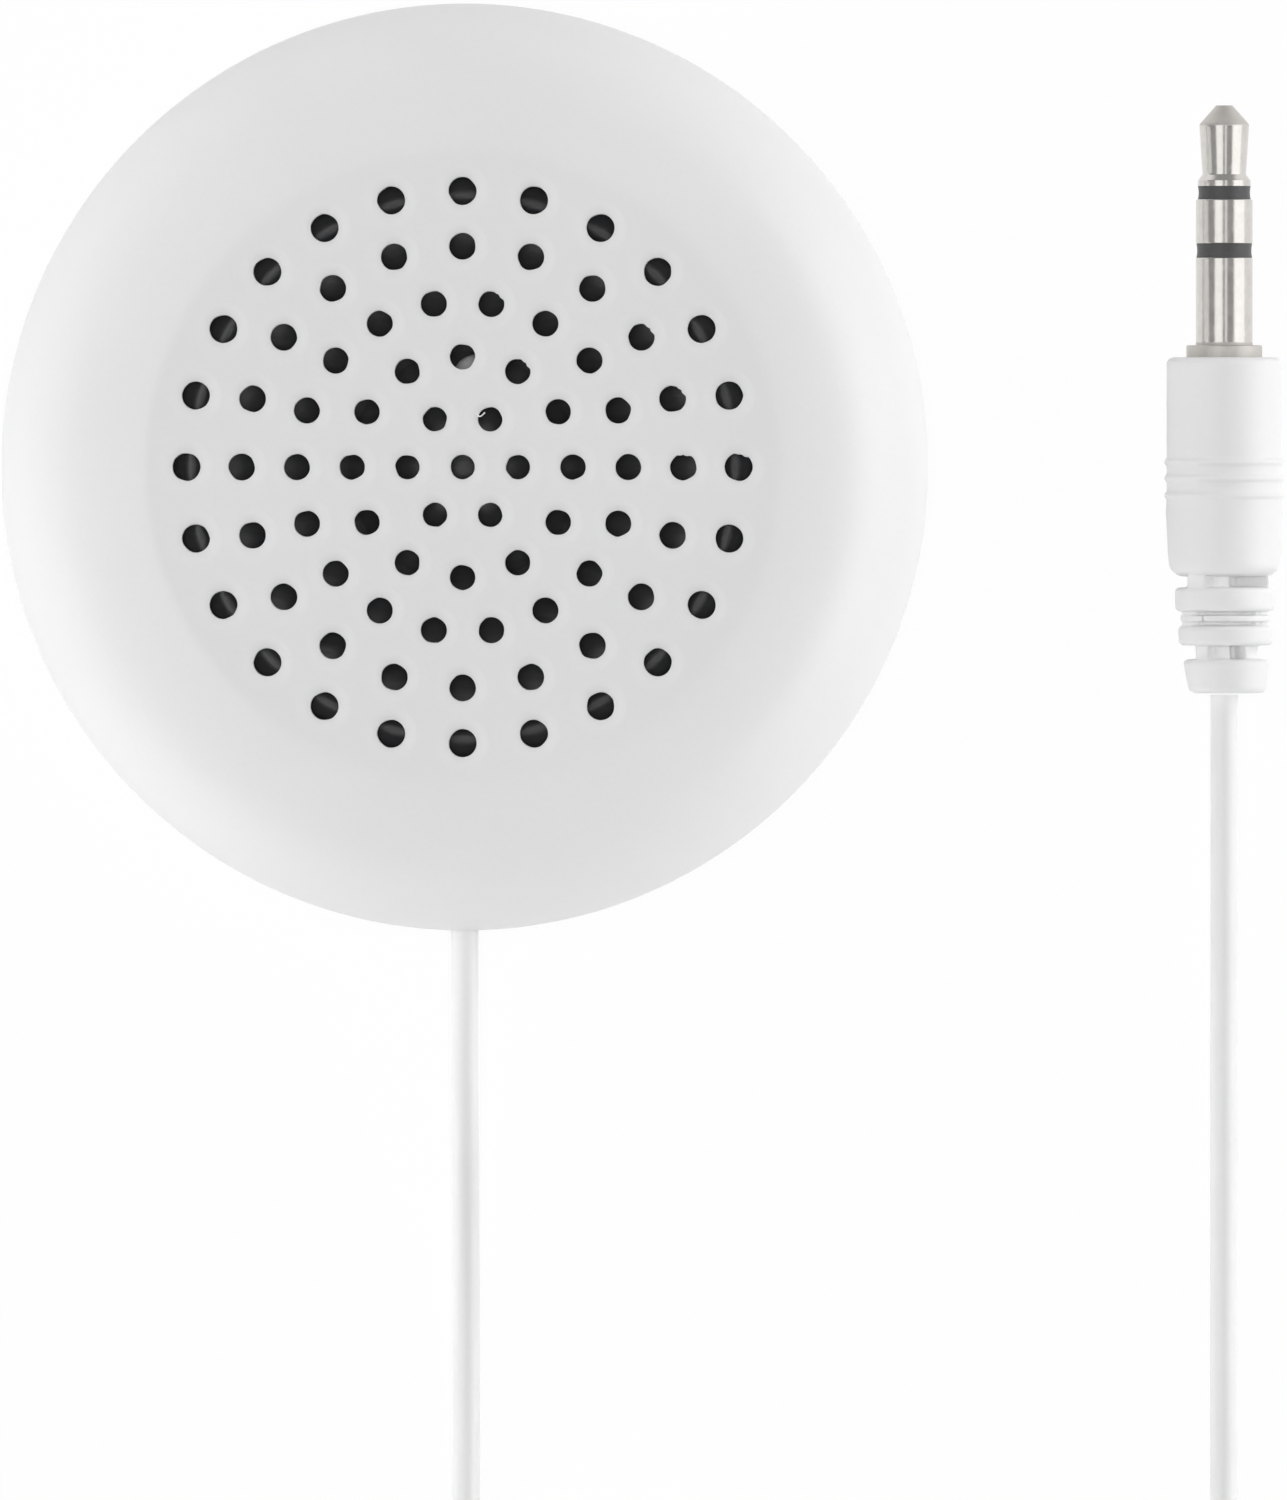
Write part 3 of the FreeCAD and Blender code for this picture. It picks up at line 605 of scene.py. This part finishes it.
# %% Sizes of the moulding
plug_axis = (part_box("plug_tip")[0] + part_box("plug_tip")[1]) / 2
socket_face_y = mm(7.51)
moulding_front = mm(-0.75)
grip_length, grip_radius, grip_front_round = mm(13.5), mm(3.55), mm(0.45)
rib_places, rib_height, rib_width = [mm(6.45), mm(7.45), mm(8.5)], mm(0.15), mm(0.62)
swell_place, swell_radius = mm(9.6), mm(3.6)
taper_place, taper_radius = mm(12.2), mm(3.46)
grip_end_radius, grip_end_round = mm(3.42), mm(0.95)
shank_radius, shank_end = mm(1.75), mm(-3.75)
tube_radii, tube_step = [mm(1.34), mm(1.06), mm(0.78), mm(0.5)], mm(1)
plug_steps = 96

grip_end = moulding_front - grip_length
grip_outline = [(0, shank_end - len(tube_radii) * tube_step)]
for number, radius in reversed(list(enumerate(tube_radii))):
    grip_outline.append((radius, shank_end - (number + 1) * tube_step))
    grip_outline.append((radius, shank_end - number * tube_step))
grip_outline += [(shank_radius, shank_end), (shank_radius, moulding_front)]
grip_outline += arc(grip_radius - grip_front_round, moulding_front - grip_front_round,
                    grip_front_round, 90, 0, 6)
for place in rib_places:
    for step in range(-4, 5):
        lift = rib_height * (1 + math.cos(math.pi * step / 4)) / 2
        grip_outline.append((grip_radius + lift, moulding_front - place - rib_width * step / 8))
grip_outline.append((swell_radius, moulding_front - swell_place))
grip_outline.append((taper_radius, moulding_front - taper_place))
grip_outline += arc(grip_end_radius - grip_end_round, grip_end + grip_end_round,
                    grip_end_round, -5, -90, 8)
grip_outline += [(0, grip_end)]
print("points in the grip's section:", len(grip_outline))

# %% The grip
moulding = turned("plug_grip_and_relief", grip_outline, plug_steps)
mould_marks = [mm(-1.74, -0.03, 0), mm(-1.74, -1.03, 0)]
mark_size, mark_height = mm(0.22), mm(0.07)
for mark in mould_marks:
    along = mark.y - socket_face_y
    for corner in moulding.data.vertices:
        near = math.hypot(corner.co.x - mark.x, corner.co.z - along) < mark_size
        if near and corner.co.y < 0:
            corner.co.y -= mark_height
print("marks of the mould:", len(mould_marks))

# %% [markdown]
# The rings and the cores between them are simple solids that overlap. A voxel remesh melts them into
# one skin, and a few rounds of smoothing leave the soft, slightly sunken edges of moulded PVC. That
# would be hard to get from bevels, because the pockets run into the rings at every angle. The melted
# relief then leans a little to one side towards its end, as it does in the photograph.
#
# Each core is a cylinder whose corners are moved in or out by their angle, seen from above the lying
# plug: flush with the rings at one side, then a shallow pocket, a deep one and the next web. The
# under side mirrors it. The middle web stands a little proud of its own core, with a slit each side.

# %% The strain relief's rings
ring_radii = [mm(3.05), mm(2.9), mm(2.65)]
ring_lengths = [mm(1.48), mm(1.23), mm(2.09)]
gap_lengths = [mm(0.67), mm(0.86), mm(0.86)]
ring_round, end_round, end_taper = mm(0.3), mm(0.5), mm(0.2)
core_radius, core_length = mm(0.9), mm(7)
overlap = mm(0.3)

core_top, core_under = grip_end + overlap, grip_end - core_length
core_outline = [(0, core_top), (core_radius, core_top), (core_radius, core_under), (0, core_under)]
relief = turned("relief", core_outline, plug_steps)
pieces = [relief]
level = grip_end
gap_levels = []
for number, (radius, length, gap) in enumerate(zip(ring_radii, ring_lengths, gap_lengths)):
    gap_levels.append((level, level - gap))
    top = level - gap
    level = top - length
    last = number == len(ring_radii) - 1
    foot_radius, foot_round = (radius - end_taper, end_round) if last else (radius, ring_round)
    outline = [(0, top)] + arc(radius - ring_round, top - ring_round, ring_round, 90, 0, 5)
    outline += arc(foot_radius - foot_round, level + foot_round, foot_round, 0, -90, 6) + [(0, level)]
    pieces.append(turned("ring", outline, plug_steps))
print("relief ends at", round(level * 1000, 2), "mm")

# %% The strain relief's cores
core_shapes = [
    [(-52, 2.25), (-24, 2.95), (-19, 2.7), (-13, 2.45), (8, 2.25), (68, 0.9), (78, 2.9), (90, 2.65)],
    [(-52, 2.63), (-46, 2.4), (50, 2.1), (60, 2.4), (90, 2.55)],
    [(-50, 1.65), (-27, 2.5), (-20, 2.2), (9, 1.75), (34, 0.9), (64, 2.1), (90, 1.95)],
]
core_steps = 240
web_shape = [(-80, 2.63), (-31, 2.8), (-27, 2.62), (80, 2.84), (90, 2.55)]
web_share = 0.46


def shaped_core(middle, length, shape):
    """Cylinder with its corners at the radius that the shape gives up to each angle."""
    select_nothing()
    bpy.ops.mesh.primitive_cylinder_add(vertices=core_steps, radius=ring_radii[0], depth=length,
                                        end_fill_type="NGON", location=(0, 0, middle))
    core = bpy.context.object
    set_in_place(core)
    for corner in core.data.vertices:
        angle = math.degrees(math.atan2(corner.co.x, abs(corner.co.y)))
        radius = next(mm(radius) for limit, radius in shape if angle <= limit)
        flat = Vector((corner.co.x, corner.co.y)).normalized() * radius
        corner.co.x, corner.co.y = flat
    return core


for (high, low), shape in zip(gap_levels, core_shapes):
    pieces.append(shaped_core((high + low) / 2, high - low + 2 * overlap, shape))
high, low = gap_levels[1]
pieces.append(shaped_core((high + low) / 2, (high - low) * web_share, web_shape))
print("solids to melt together:", len(pieces))

# %% One soft skin
voxel = mm(0.07)
smoothing_rounds = 7
lean, lean_power = mm(0.22), 1.5
join(pieces)
melt = relief.modifiers.new("melt", "REMESH")
melt.mode = "VOXEL"
melt.voxel_size = voxel
bpy.ops.object.modifier_apply(modifier=melt.name)
ease = relief.modifiers.new("ease", "SMOOTH")
ease.factor = 0.5
ease.iterations = smoothing_rounds
bpy.ops.object.modifier_apply(modifier=ease.name)
for corner in relief.data.vertices:
    share = (grip_end - corner.co.z) / (grip_end - level)
    corner.co.x += lean * max(0.0, share) ** lean_power
combine(moulding, relief, "UNION")
moulding.rotation_euler.x = math.radians(-90)
moulding.location = (plug_axis.x, socket_face_y, plug_axis.z)
set_in_place(moulding)
soften(moulding, 50)
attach(moulding, "root")
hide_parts("plug_moulding")
print("triangles in the moulding:", count_triangles(moulding))

# %% [markdown]
# ## Floor and light
#
# The photograph has a pure white ground. The middle of the face is an even light grey, the rim grows
# bright to the left and right, and light falls straight down through the holes onto the black film.
# So one lamp hangs over the object, low strips stand on all four sides, of which the right one is the
# strongest, and wider ones stand higher at the right, the left and the near side. They only light the
# object: what its metal and its gloss mirror is three soft panels and a grey sky, as in a studio where
# cards hide the other lamps. Seen straight, the sky is as white as the ground.
#
# The floor is white paper. Seen straight, or mirrored in the nickel, it is mostly a plain white that
# no lamp changes, and a small share of real paper keeps the object's shadow on it.


# %% Colours and nodes
def linear(hex_colour):
    """Linear red, green, blue and alpha of an sRGB colour such as #E8E8E6."""
    channels = [int(hex_colour[i:i + 2], 16) / 255 for i in (1, 3, 5)]
    return [c / 12.92 if c <= 0.04045 else ((c + 0.055) / 1.055) ** 2.4 for c in channels] + [1.0]


def add_node(tree, kind, settings=None, links=None):
    """Adds a node with settings by property or socket, and links by socket.

    A socket is given by its name, or by its number where several have the same name.
    """
    node = tree.nodes.new(kind)
    for name, value in (settings or {}).items():
        if isinstance(name, int) or name in node.inputs:
            node.inputs[name].default_value = value
        else:
            setattr(node, name, value)
    for name, source in (links or {}).items():
        tree.links.new(source, node.inputs[name])
    return node


print("mid grey is", round(linear("#808080")[0], 3), "linear")

# %% The floor
floor_size = 3.0
floor_gap = mm(0.01)
plain_white_share = 0.97
bpy.ops.mesh.primitive_plane_add(size=floor_size, location=(0, 0, -floor_gap))
floor = bpy.context.object
floor.name = "floor"
floor_paper = bpy.data.materials.new("white paper floor")
floor_paper.use_nodes = True
tree = floor_paper.node_tree
tree.nodes.clear()
paper = add_node(tree, "ShaderNodeBsdfDiffuse", {"Color": linear("#F0F0F0")})
plain = add_node(tree, "ShaderNodeEmission", {"Color": (1, 1, 1, 1), "Strength": 1.0})
ray = add_node(tree, "ShaderNodeLightPath")
either = add_node(tree, "ShaderNodeMath", {"operation": "MAXIMUM"},
                  {0: ray.outputs["Is Camera Ray"], 1: ray.outputs["Is Glossy Ray"]})
any_of = add_node(tree, "ShaderNodeMath", {"operation": "MAXIMUM"},
                  {0: either.outputs[0], 1: ray.outputs["Is Transmission Ray"]})
share = add_node(tree, "ShaderNodeMath", {"operation": "MULTIPLY", 1: plain_white_share},
                 {0: any_of.outputs[0]})
mixed = add_node(tree, "ShaderNodeMixShader",
                 links={"Fac": share.outputs[0], 1: paper.outputs[0], 2: plain.outputs[0]})
add_node(tree, "ShaderNodeOutputMaterial", links={"Surface": mixed.outputs[0]})
floor.data.materials.append(floor_paper)
print("the floor is", floor_size, "m across")

# %% The lamps
lamp_distance = 1.0


def add_lamp(name, azimuth, elevation, width, height, light, mirrored=False):
    """Soft lamp aimed at the object, with its azimuth and elevation in degrees.

    The light is what it adds to a white surface that faces it. A mirrored lamp shows in gloss and
    lights nothing, the others light the object and don't show.
    """
    rise = math.radians(elevation)
    direction = polar(math.cos(rise), azimuth) + Vector((0, 0, math.sin(rise)))
    bpy.ops.object.light_add(type="AREA", location=direction * lamp_distance)
    lamp = bpy.context.object
    lamp.name = name
    lamp.rotation_euler = direction.to_track_quat("Z", "Y").to_euler()
    lamp.data.shape = "RECTANGLE"
    lamp.data.size = width
    lamp.data.size_y = height
    lamp.data.energy = light * (math.pi * lamp_distance) ** 2
    lamp.visible_camera = False
    lamp.visible_glossy = mirrored
    lamp.visible_diffuse = not mirrored


add_lamp("lamp_overhead", 0, 89.9, 0.2, 0.2, 0.36)
add_lamp("lamp_right_low", 0, 3.2, 1.6, 0.1, 0.50)
add_lamp("lamp_right", 30, 12, 1.6, 0.3, 0.31)
add_lamp("lamp_right_high", 30, 30, 1.4, 0.3, 0.21)
add_lamp("lamp_left_low", 180, 3.2, 1.6, 0.1, 0.35)
add_lamp("lamp_left", 180, 30, 1.4, 0.3, 0.40)
add_lamp("lamp_left_high", 180, 55, 1.2, 0.4, 0.16)
add_lamp("lamp_near_low", 270, 3.2, 1.6, 0.1, 0.36)
add_lamp("lamp_near_high", 270, 30, 1.4, 0.3, 0.06)
add_lamp("lamp_far_low", 90, 3.2, 1.6, 0.1, 0.07)
add_lamp("panel_right", 0, 24.5, 1.6, 0.9, 0.5, mirrored=True)
add_lamp("panel_left", 180, 69, 1.4, 0.6, 0.25, mirrored=True)
add_lamp("panel_slit", 0, 80.5, 1.4, 0.14, 0.05, mirrored=True)

# %% The sky
grey_in_gloss = 0.38
world = bpy.data.worlds.new("grey studio")
bpy.context.scene.world = world
world.use_nodes = True
sky = world.node_tree.nodes["Background"]
sky.inputs["Color"].default_value = (1, 1, 1, 1)
sky_ray = add_node(world.node_tree, "ShaderNodeLightPath")
strength = add_node(world.node_tree, "ShaderNodeMath", {"operation": "MULTIPLY_ADD", 1: grey_in_gloss},
                    {0: sky_ray.outputs["Is Glossy Ray"], 2: sky_ray.outputs["Is Camera Ray"]})
world.node_tree.links.new(strength.outputs[0], sky.inputs["Strength"])
bpy.context.scene.view_settings.view_transform = "Standard"
print("grey in gloss:", grey_in_gloss)

# %% [markdown]
# ## Finishes
#
# Every finish is procedural and reads Object coordinates, so each pattern has its real size and stays
# on its piece. Most of them have the same build: a colour that drifts a little from place to place,
# a roughness that drifts with it, and a fine relief. One function wires that up, and each finish says
# what it is, how large its pattern is and how strongly it shows.


# %% One way to build a finish
def coordinates(tree, grain):
    """Object coordinates scaled so that one unit of a pattern is one grain, given along X, Y and Z."""
    place = add_node(tree, "ShaderNodeTexCoord")
    scale = [1 / length for length in grain]
    mapping = add_node(tree, "ShaderNodeMapping", {"Scale": scale}, {"Vector": place.outputs["Object"]})
    return mapping.outputs["Vector"]


def finish(name, light, dark, roughness, metallic=0.0, grain=(1, 1, 1), relief=(0.1, 0.005),
           drift=8.0, pattern="ShaderNodeTexNoise", output="Fac", **extra):
    """Material with two colours, a roughness range, a grain in millimetres and a relief.

    The relief is its strength and its depth in millimetres. The colours drift over as many
    millimetres as drift says. What else is named is set on the shader.
    """
    made = bpy.data.materials.new(name)
    made.use_nodes = True
    tree = made.node_tree
    tree.nodes.clear()
    fine = add_node(tree, pattern, {"Scale": 1.0}, {"Vector": coordinates(tree, [mm(g) for g in grain])})
    slow = add_node(tree, "ShaderNodeTexNoise", {"Scale": 1.0, "Detail": 3.0},
                    {"Vector": coordinates(tree, [mm(drift)] * 3)})
    centred = add_node(tree, "ShaderNodeMath", {"operation": "MULTIPLY_ADD", 1: 0.5, 2: -0.25},
                       {0: fine.outputs[output]})
    share = add_node(tree, "ShaderNodeMath", {"operation": "ADD", "use_clamp": True},
                     {0: slow.outputs["Fac"], 1: centred.outputs[0]})
    colour = add_node(tree, "ShaderNodeMixRGB", {"Color1": linear(dark), "Color2": linear(light)},
                      {"Fac": share.outputs[0]})
    gloss = add_node(tree, "ShaderNodeMapRange", {"To Min": roughness[0], "To Max": roughness[1]},
                     {"Value": share.outputs[0]})
    bump = add_node(tree, "ShaderNodeBump", {"Strength": relief[0], "Distance": mm(relief[1])},
                    {"Height": fine.outputs[output]})
    shader = add_node(tree, "ShaderNodeBsdfPrincipled", {"Metallic": metallic, **extra},
                      {"Base Color": colour.outputs[0], "Roughness": gloss.outputs[0],
                       "Normal": bump.outputs[0]})
    add_node(tree, "ShaderNodeOutputMaterial", links={"Surface": shader.outputs[0]})
    return made


def dress(material, *pieces):
    """Gives pieces and nodes of the frame a material."""
    for piece in pieces:
        target = nodes[piece] if isinstance(piece, str) else piece
        target.data.materials.clear()
        target.data.materials.append(material)


print("finishes are built by one function")

# %% [markdown]
# The housing is ABS, moulded against a tool that was blasted with fine grit: white, evenly matt, with
# a grain near 0.1 mm that breaks up the lamps' reflections. The grain is drawn at 0.25 mm, because
# finer would not show. ABS has an IOR of 1.54.

# %% White ABS, fine matt grain
abs_white = finish("white ABS, fine matt grain", "#EFEFEF", "#E8E8E8", (0.40, 0.50),
                   grain=(0.25, 0.25, 0.25), relief=(0.10, 0.004), drift=14.0, IOR=1.54)
dress(abs_white, front, "back_shell")
print(abs_white.name)

# %% [markdown]
# The cord's jacket and the plug's moulding are soft white PVC. The jacket is extruded and has a silky
# gloss, and the moulding is a little duller. Both are nearly smooth: their faint grain, drawn at 0.4
# and 0.3 mm, is coarser than the real one, so that it shows at all. The fibre is cotton, quite matt.

# %% Soft white PVC and cotton
pvc_moulded = finish("soft white PVC, moulded", "#F0F0F0", "#EAEAEA", (0.42, 0.52),
                     grain=(0.3, 0.3, 0.3), relief=(0.08, 0.004), drift=5.0, IOR=1.53)
pvc_jacket = finish("soft white PVC, extruded", "#F2F2F2", "#ECECEC", (0.34, 0.42),
                    grain=(0.4, 0.4, 0.4), relief=(0.06, 0.004), drift=9.0, IOR=1.53)
lint = finish("cotton fibre", "#F4F4F2", "#E4E4E0", (0.8, 0.95),
              grain=(0.1, 0.1, 0.1), relief=(0.2, 0.004), drift=0.5)
dress(pvc_moulded, moulding)
dress(pvc_jacket, cord)
dress(lint, fibre)
print(pvc_moulded.name, "and", pvc_jacket.name)

# %% [markdown]
# The contacts are brass turned on an automatic lathe and plated with bright nickel, which is slightly
# warm. Handling leaves fine scratches along the plug, where it slides into a socket, and small bright
# and dull specks. So the relief is stretched along the plug, and the roughness has specks in it. The
# nose's cone and the flange are matt: there the plating lies on coarser turning, and every socket
# rubs them. A place along the plug decides between bright and matt.

# %% Turned and nickel-plated brass
bright_roughness, matt_roughness = (0.12, 0.26), 0.55
bright_from, bright_to, edge_softness = mm(7.68), mm(21.05), mm(0.03)
nickel = finish("nickel-plated brass, turned", "#DFDCD8", "#CAC6C1", bright_roughness, metallic=1.0,
                grain=(0.13, 0.4, 0.13), relief=(0.3, 0.006), drift=0.7)
tree = nickel.node_tree
shader = next(node for node in tree.nodes if node.type == "BSDF_PRINCIPLED")
place = add_node(tree, "ShaderNodeTexCoord")
along = add_node(tree, "ShaderNodeSeparateXYZ", links={"Vector": place.outputs["Object"]})
bright_middle = (bright_from + bright_to) / 2
from_middle = add_node(tree, "ShaderNodeMath", {"operation": "SUBTRACT", 1: bright_middle},
                       {0: along.outputs["Y"]})
distance = add_node(tree, "ShaderNodeMath", {"operation": "ABSOLUTE"}, {0: from_middle.outputs[0]})
half = (bright_to - bright_from) / 2
matt = add_node(tree, "ShaderNodeMapRange",
                {"From Min": half - edge_softness, "From Max": half + edge_softness},
                {"Value": distance.outputs[0]})
gloss = shader.inputs["Roughness"].links[0].from_socket
added_roughness = matt_roughness - sum(bright_roughness) / 2
ends = add_node(tree, "ShaderNodeMath", {"operation": "MULTIPLY_ADD", 1: added_roughness},
                {0: matt.outputs[0], 2: gloss})
tree.links.new(ends.outputs[0], shader.inputs["Roughness"])
dress(nickel, "plug_sleeve", "plug_ring", "plug_tip")
print(nickel.name)

# %% [markdown]
# The insulators between the contacts are black nylon, moulded and slightly worn, with a silky gloss.

# %% Black nylon
nylon_black = finish("black nylon, moulded", "#4A4A4B", "#3A3A3B", (0.38, 0.5), grain=(0.2, 0.35, 0.2),
                     relief=(0.15, 0.006), drift=1.5, IOR=1.53)
dress(nylon_black, "plug_insulator_rear", "plug_insulator_front")
print(nylon_black.name)

# %% [markdown]
# The loudspeaker's cone is polyester film, 0.1 mm thick, pressed while warm and dyed black. It is
# glossy, and its pressing leaves shallow ridges all over, some tenths of a millimetre apart. The drop
# of glue on its dome has set to a smooth, pale skin.

# %% Black polyester film and glue
film_black = finish("black polyester film, pressed", "#444446", "#303032", (0.18, 0.30),
                    grain=(1.4, 0.35, 0.5), relief=(0.4, 0.03), drift=2.5, IOR=1.64)
glue = finish("white contact glue, set", "#FFFFFF", "#F6F6F4", (0.25, 0.4), grain=(0.5, 0.5, 0.5),
              relief=(0.3, 0.03), drift=1.2, IOR=1.5)
dress(film_black, "diaphragm")
dress(glue, "glue_dot")
print(film_black.name, "and", glue.name)

# %% [markdown]
# Inside the housing are steel, copper, card and foam. Nobody sees them before the housing is opened,
# but they get the same care. Zinc on screws is bluish and bright, zinc on the magnet's cup and plate
# has the long grain of the rolled sheet, and the barrel-plated magnet is evenly satin. The basket's
# black paint has the slight skin of a sprayed coat. Enamelled copper shows its turns, tinned brass is
# pale and slightly drawn, and solder has set from liquid to a smooth, bright skin.

# %% Metals inside
zinc_screw = finish("steel, zinc plated and blued", "#C4CAD2", "#9EA6B2", (0.22, 0.38), metallic=1.0,
                    grain=(0.3, 0.3, 0.08), relief=(0.3, 0.01), drift=1.5)
zinc_sheet = finish("rolled steel, zinc plated", "#B9BDC2", "#9BA0A6", (0.28, 0.45), metallic=1.0,
                    grain=(3.0, 0.25, 0.25), relief=(0.15, 0.006), drift=4.0)
nickel_dull = finish("nickel-plated steel, barrel plated", "#CFCBC4", "#B9B4AC", (0.28, 0.42),
                     metallic=1.0, grain=(0.15, 0.15, 0.15), relief=(0.2, 0.005), drift=2.0)
steel_black = finish("pressed steel, painted black", "#2B2B2D", "#1D1D1F", (0.35, 0.55),
                     grain=(0.4, 0.4, 0.4), relief=(0.35, 0.015), drift=6.0)
copper_wire = finish("enamelled copper wire, wound", "#C46B3E", "#8E4322", (0.22, 0.34), metallic=1.0,
                     grain=(9.0, 9.0, 0.12), relief=(0.8, 0.03), drift=3.0)
tin_brass = finish("brass, tinned", "#D6D3C9", "#BDB8A8", (0.25, 0.4), metallic=1.0,
                   grain=(1.2, 0.2, 0.2), relief=(0.2, 0.006), drift=1.5)
solder_tin = finish("solder, set from liquid", "#D4D5D8", "#A9ABB0", (0.12, 0.32), metallic=1.0,
                    grain=(0.35, 0.35, 0.35), relief=(0.35, 0.02), drift=0.8)
dress(zinc_screw, "shell_screws")
dress(zinc_sheet, "magnet_cup", "pole_plate")
dress(nickel_dull, "magnet")
dress(steel_black, "driver_basket")
dress(copper_wire, "voice_coil_winding", "coil_lead_wires")
dress(tin_brass, "terminal_tags")
dress(solder_tin, "solder_joints")
metals = [zinc_screw, zinc_sheet, nickel_dull, steel_black, copper_wire, tin_brass, solder_tin]
print("metals inside:", len(metals))

# %% [markdown]
# The soft and papery parts inside are grey card with short fibres that lie along its length, kraft
# paper rolled to a tube, foam that shows its cells, and brown paper laminate with a grain. The leads
# are PVC with a silky gloss, the tie inside is nylon in its natural colour, and the tie on the coil
# is a white PVC strip, a little yellower and rougher than the cord.

# %% Card, paper, foam, laminate, leads and ties
card_grey = finish("grey card, die cut", "#8E8A82", "#6F6B64", (0.8, 0.95), grain=(0.6, 0.15, 0.15),
                   relief=(0.6, 0.03), drift=3.0)
kraft = finish("kraft paper, rolled", "#A5794C", "#7F5630", (0.7, 0.9), grain=(0.5, 0.5, 0.12),
               relief=(0.5, 0.02), drift=2.5)
foam_grey = finish("polyurethane foam, cut", "#5C5E61", "#2F3032", (0.85, 1.0), grain=(0.45, 0.45, 0.45),
                   relief=(1.0, 0.15), drift=2.0, pattern="ShaderNodeTexVoronoi", output="Distance")
laminate = finish("paper laminate, brown", "#8C5A2E", "#6A3F1C", (0.35, 0.55), grain=(0.9, 0.2, 0.2),
                  relief=(0.25, 0.01), drift=2.5)
lead_white = finish("white PVC lead, extruded", "#E9E7E1", "#DAD7CF", (0.35, 0.5), grain=(0.4, 0.4, 0.4),
                    relief=(0.1, 0.005), drift=2.0, IOR=1.53)
lead_red = finish("red PVC lead, extruded", "#B32A22", "#8C1B15", (0.35, 0.5), grain=(0.4, 0.4, 0.4),
                  relief=(0.1, 0.005), drift=2.0, IOR=1.53)
nylon_tie = finish("natural nylon, moulded", "#DDD8CB", "#CBC5B5", (0.35, 0.5), grain=(0.3, 0.3, 0.3),
                   relief=(0.15, 0.006), drift=2.0, IOR=1.53)
tie_pvc = finish("white PVC strip on steel wire", "#EFEFED", "#E4E4E2", (0.38, 0.5),
                 grain=(0.35, 0.35, 0.35), relief=(0.2, 0.01), drift=3.0, IOR=1.53)
dress(card_grey, "driver_gasket")
dress(kraft, "voice_coil_former")
dress(foam_grey, "rear_foam_pad")
dress(laminate, "terminal_board")
dress(lead_white, "lead_wire_left")
dress(lead_red, "lead_wire_right")
dress(nylon_tie, "cord_tie")
dress(tie_pvc, tie)
bare = [name for name, node in nodes.items() if not node.hide_render and not node.data.materials]
print("nodes without a finish:", bare)

# %% [markdown]
# ## Bringing the scene up to date
#
# The last line brings the places of all objects up to date.

# %% The scene brought up to date
bpy.context.view_layer.update()
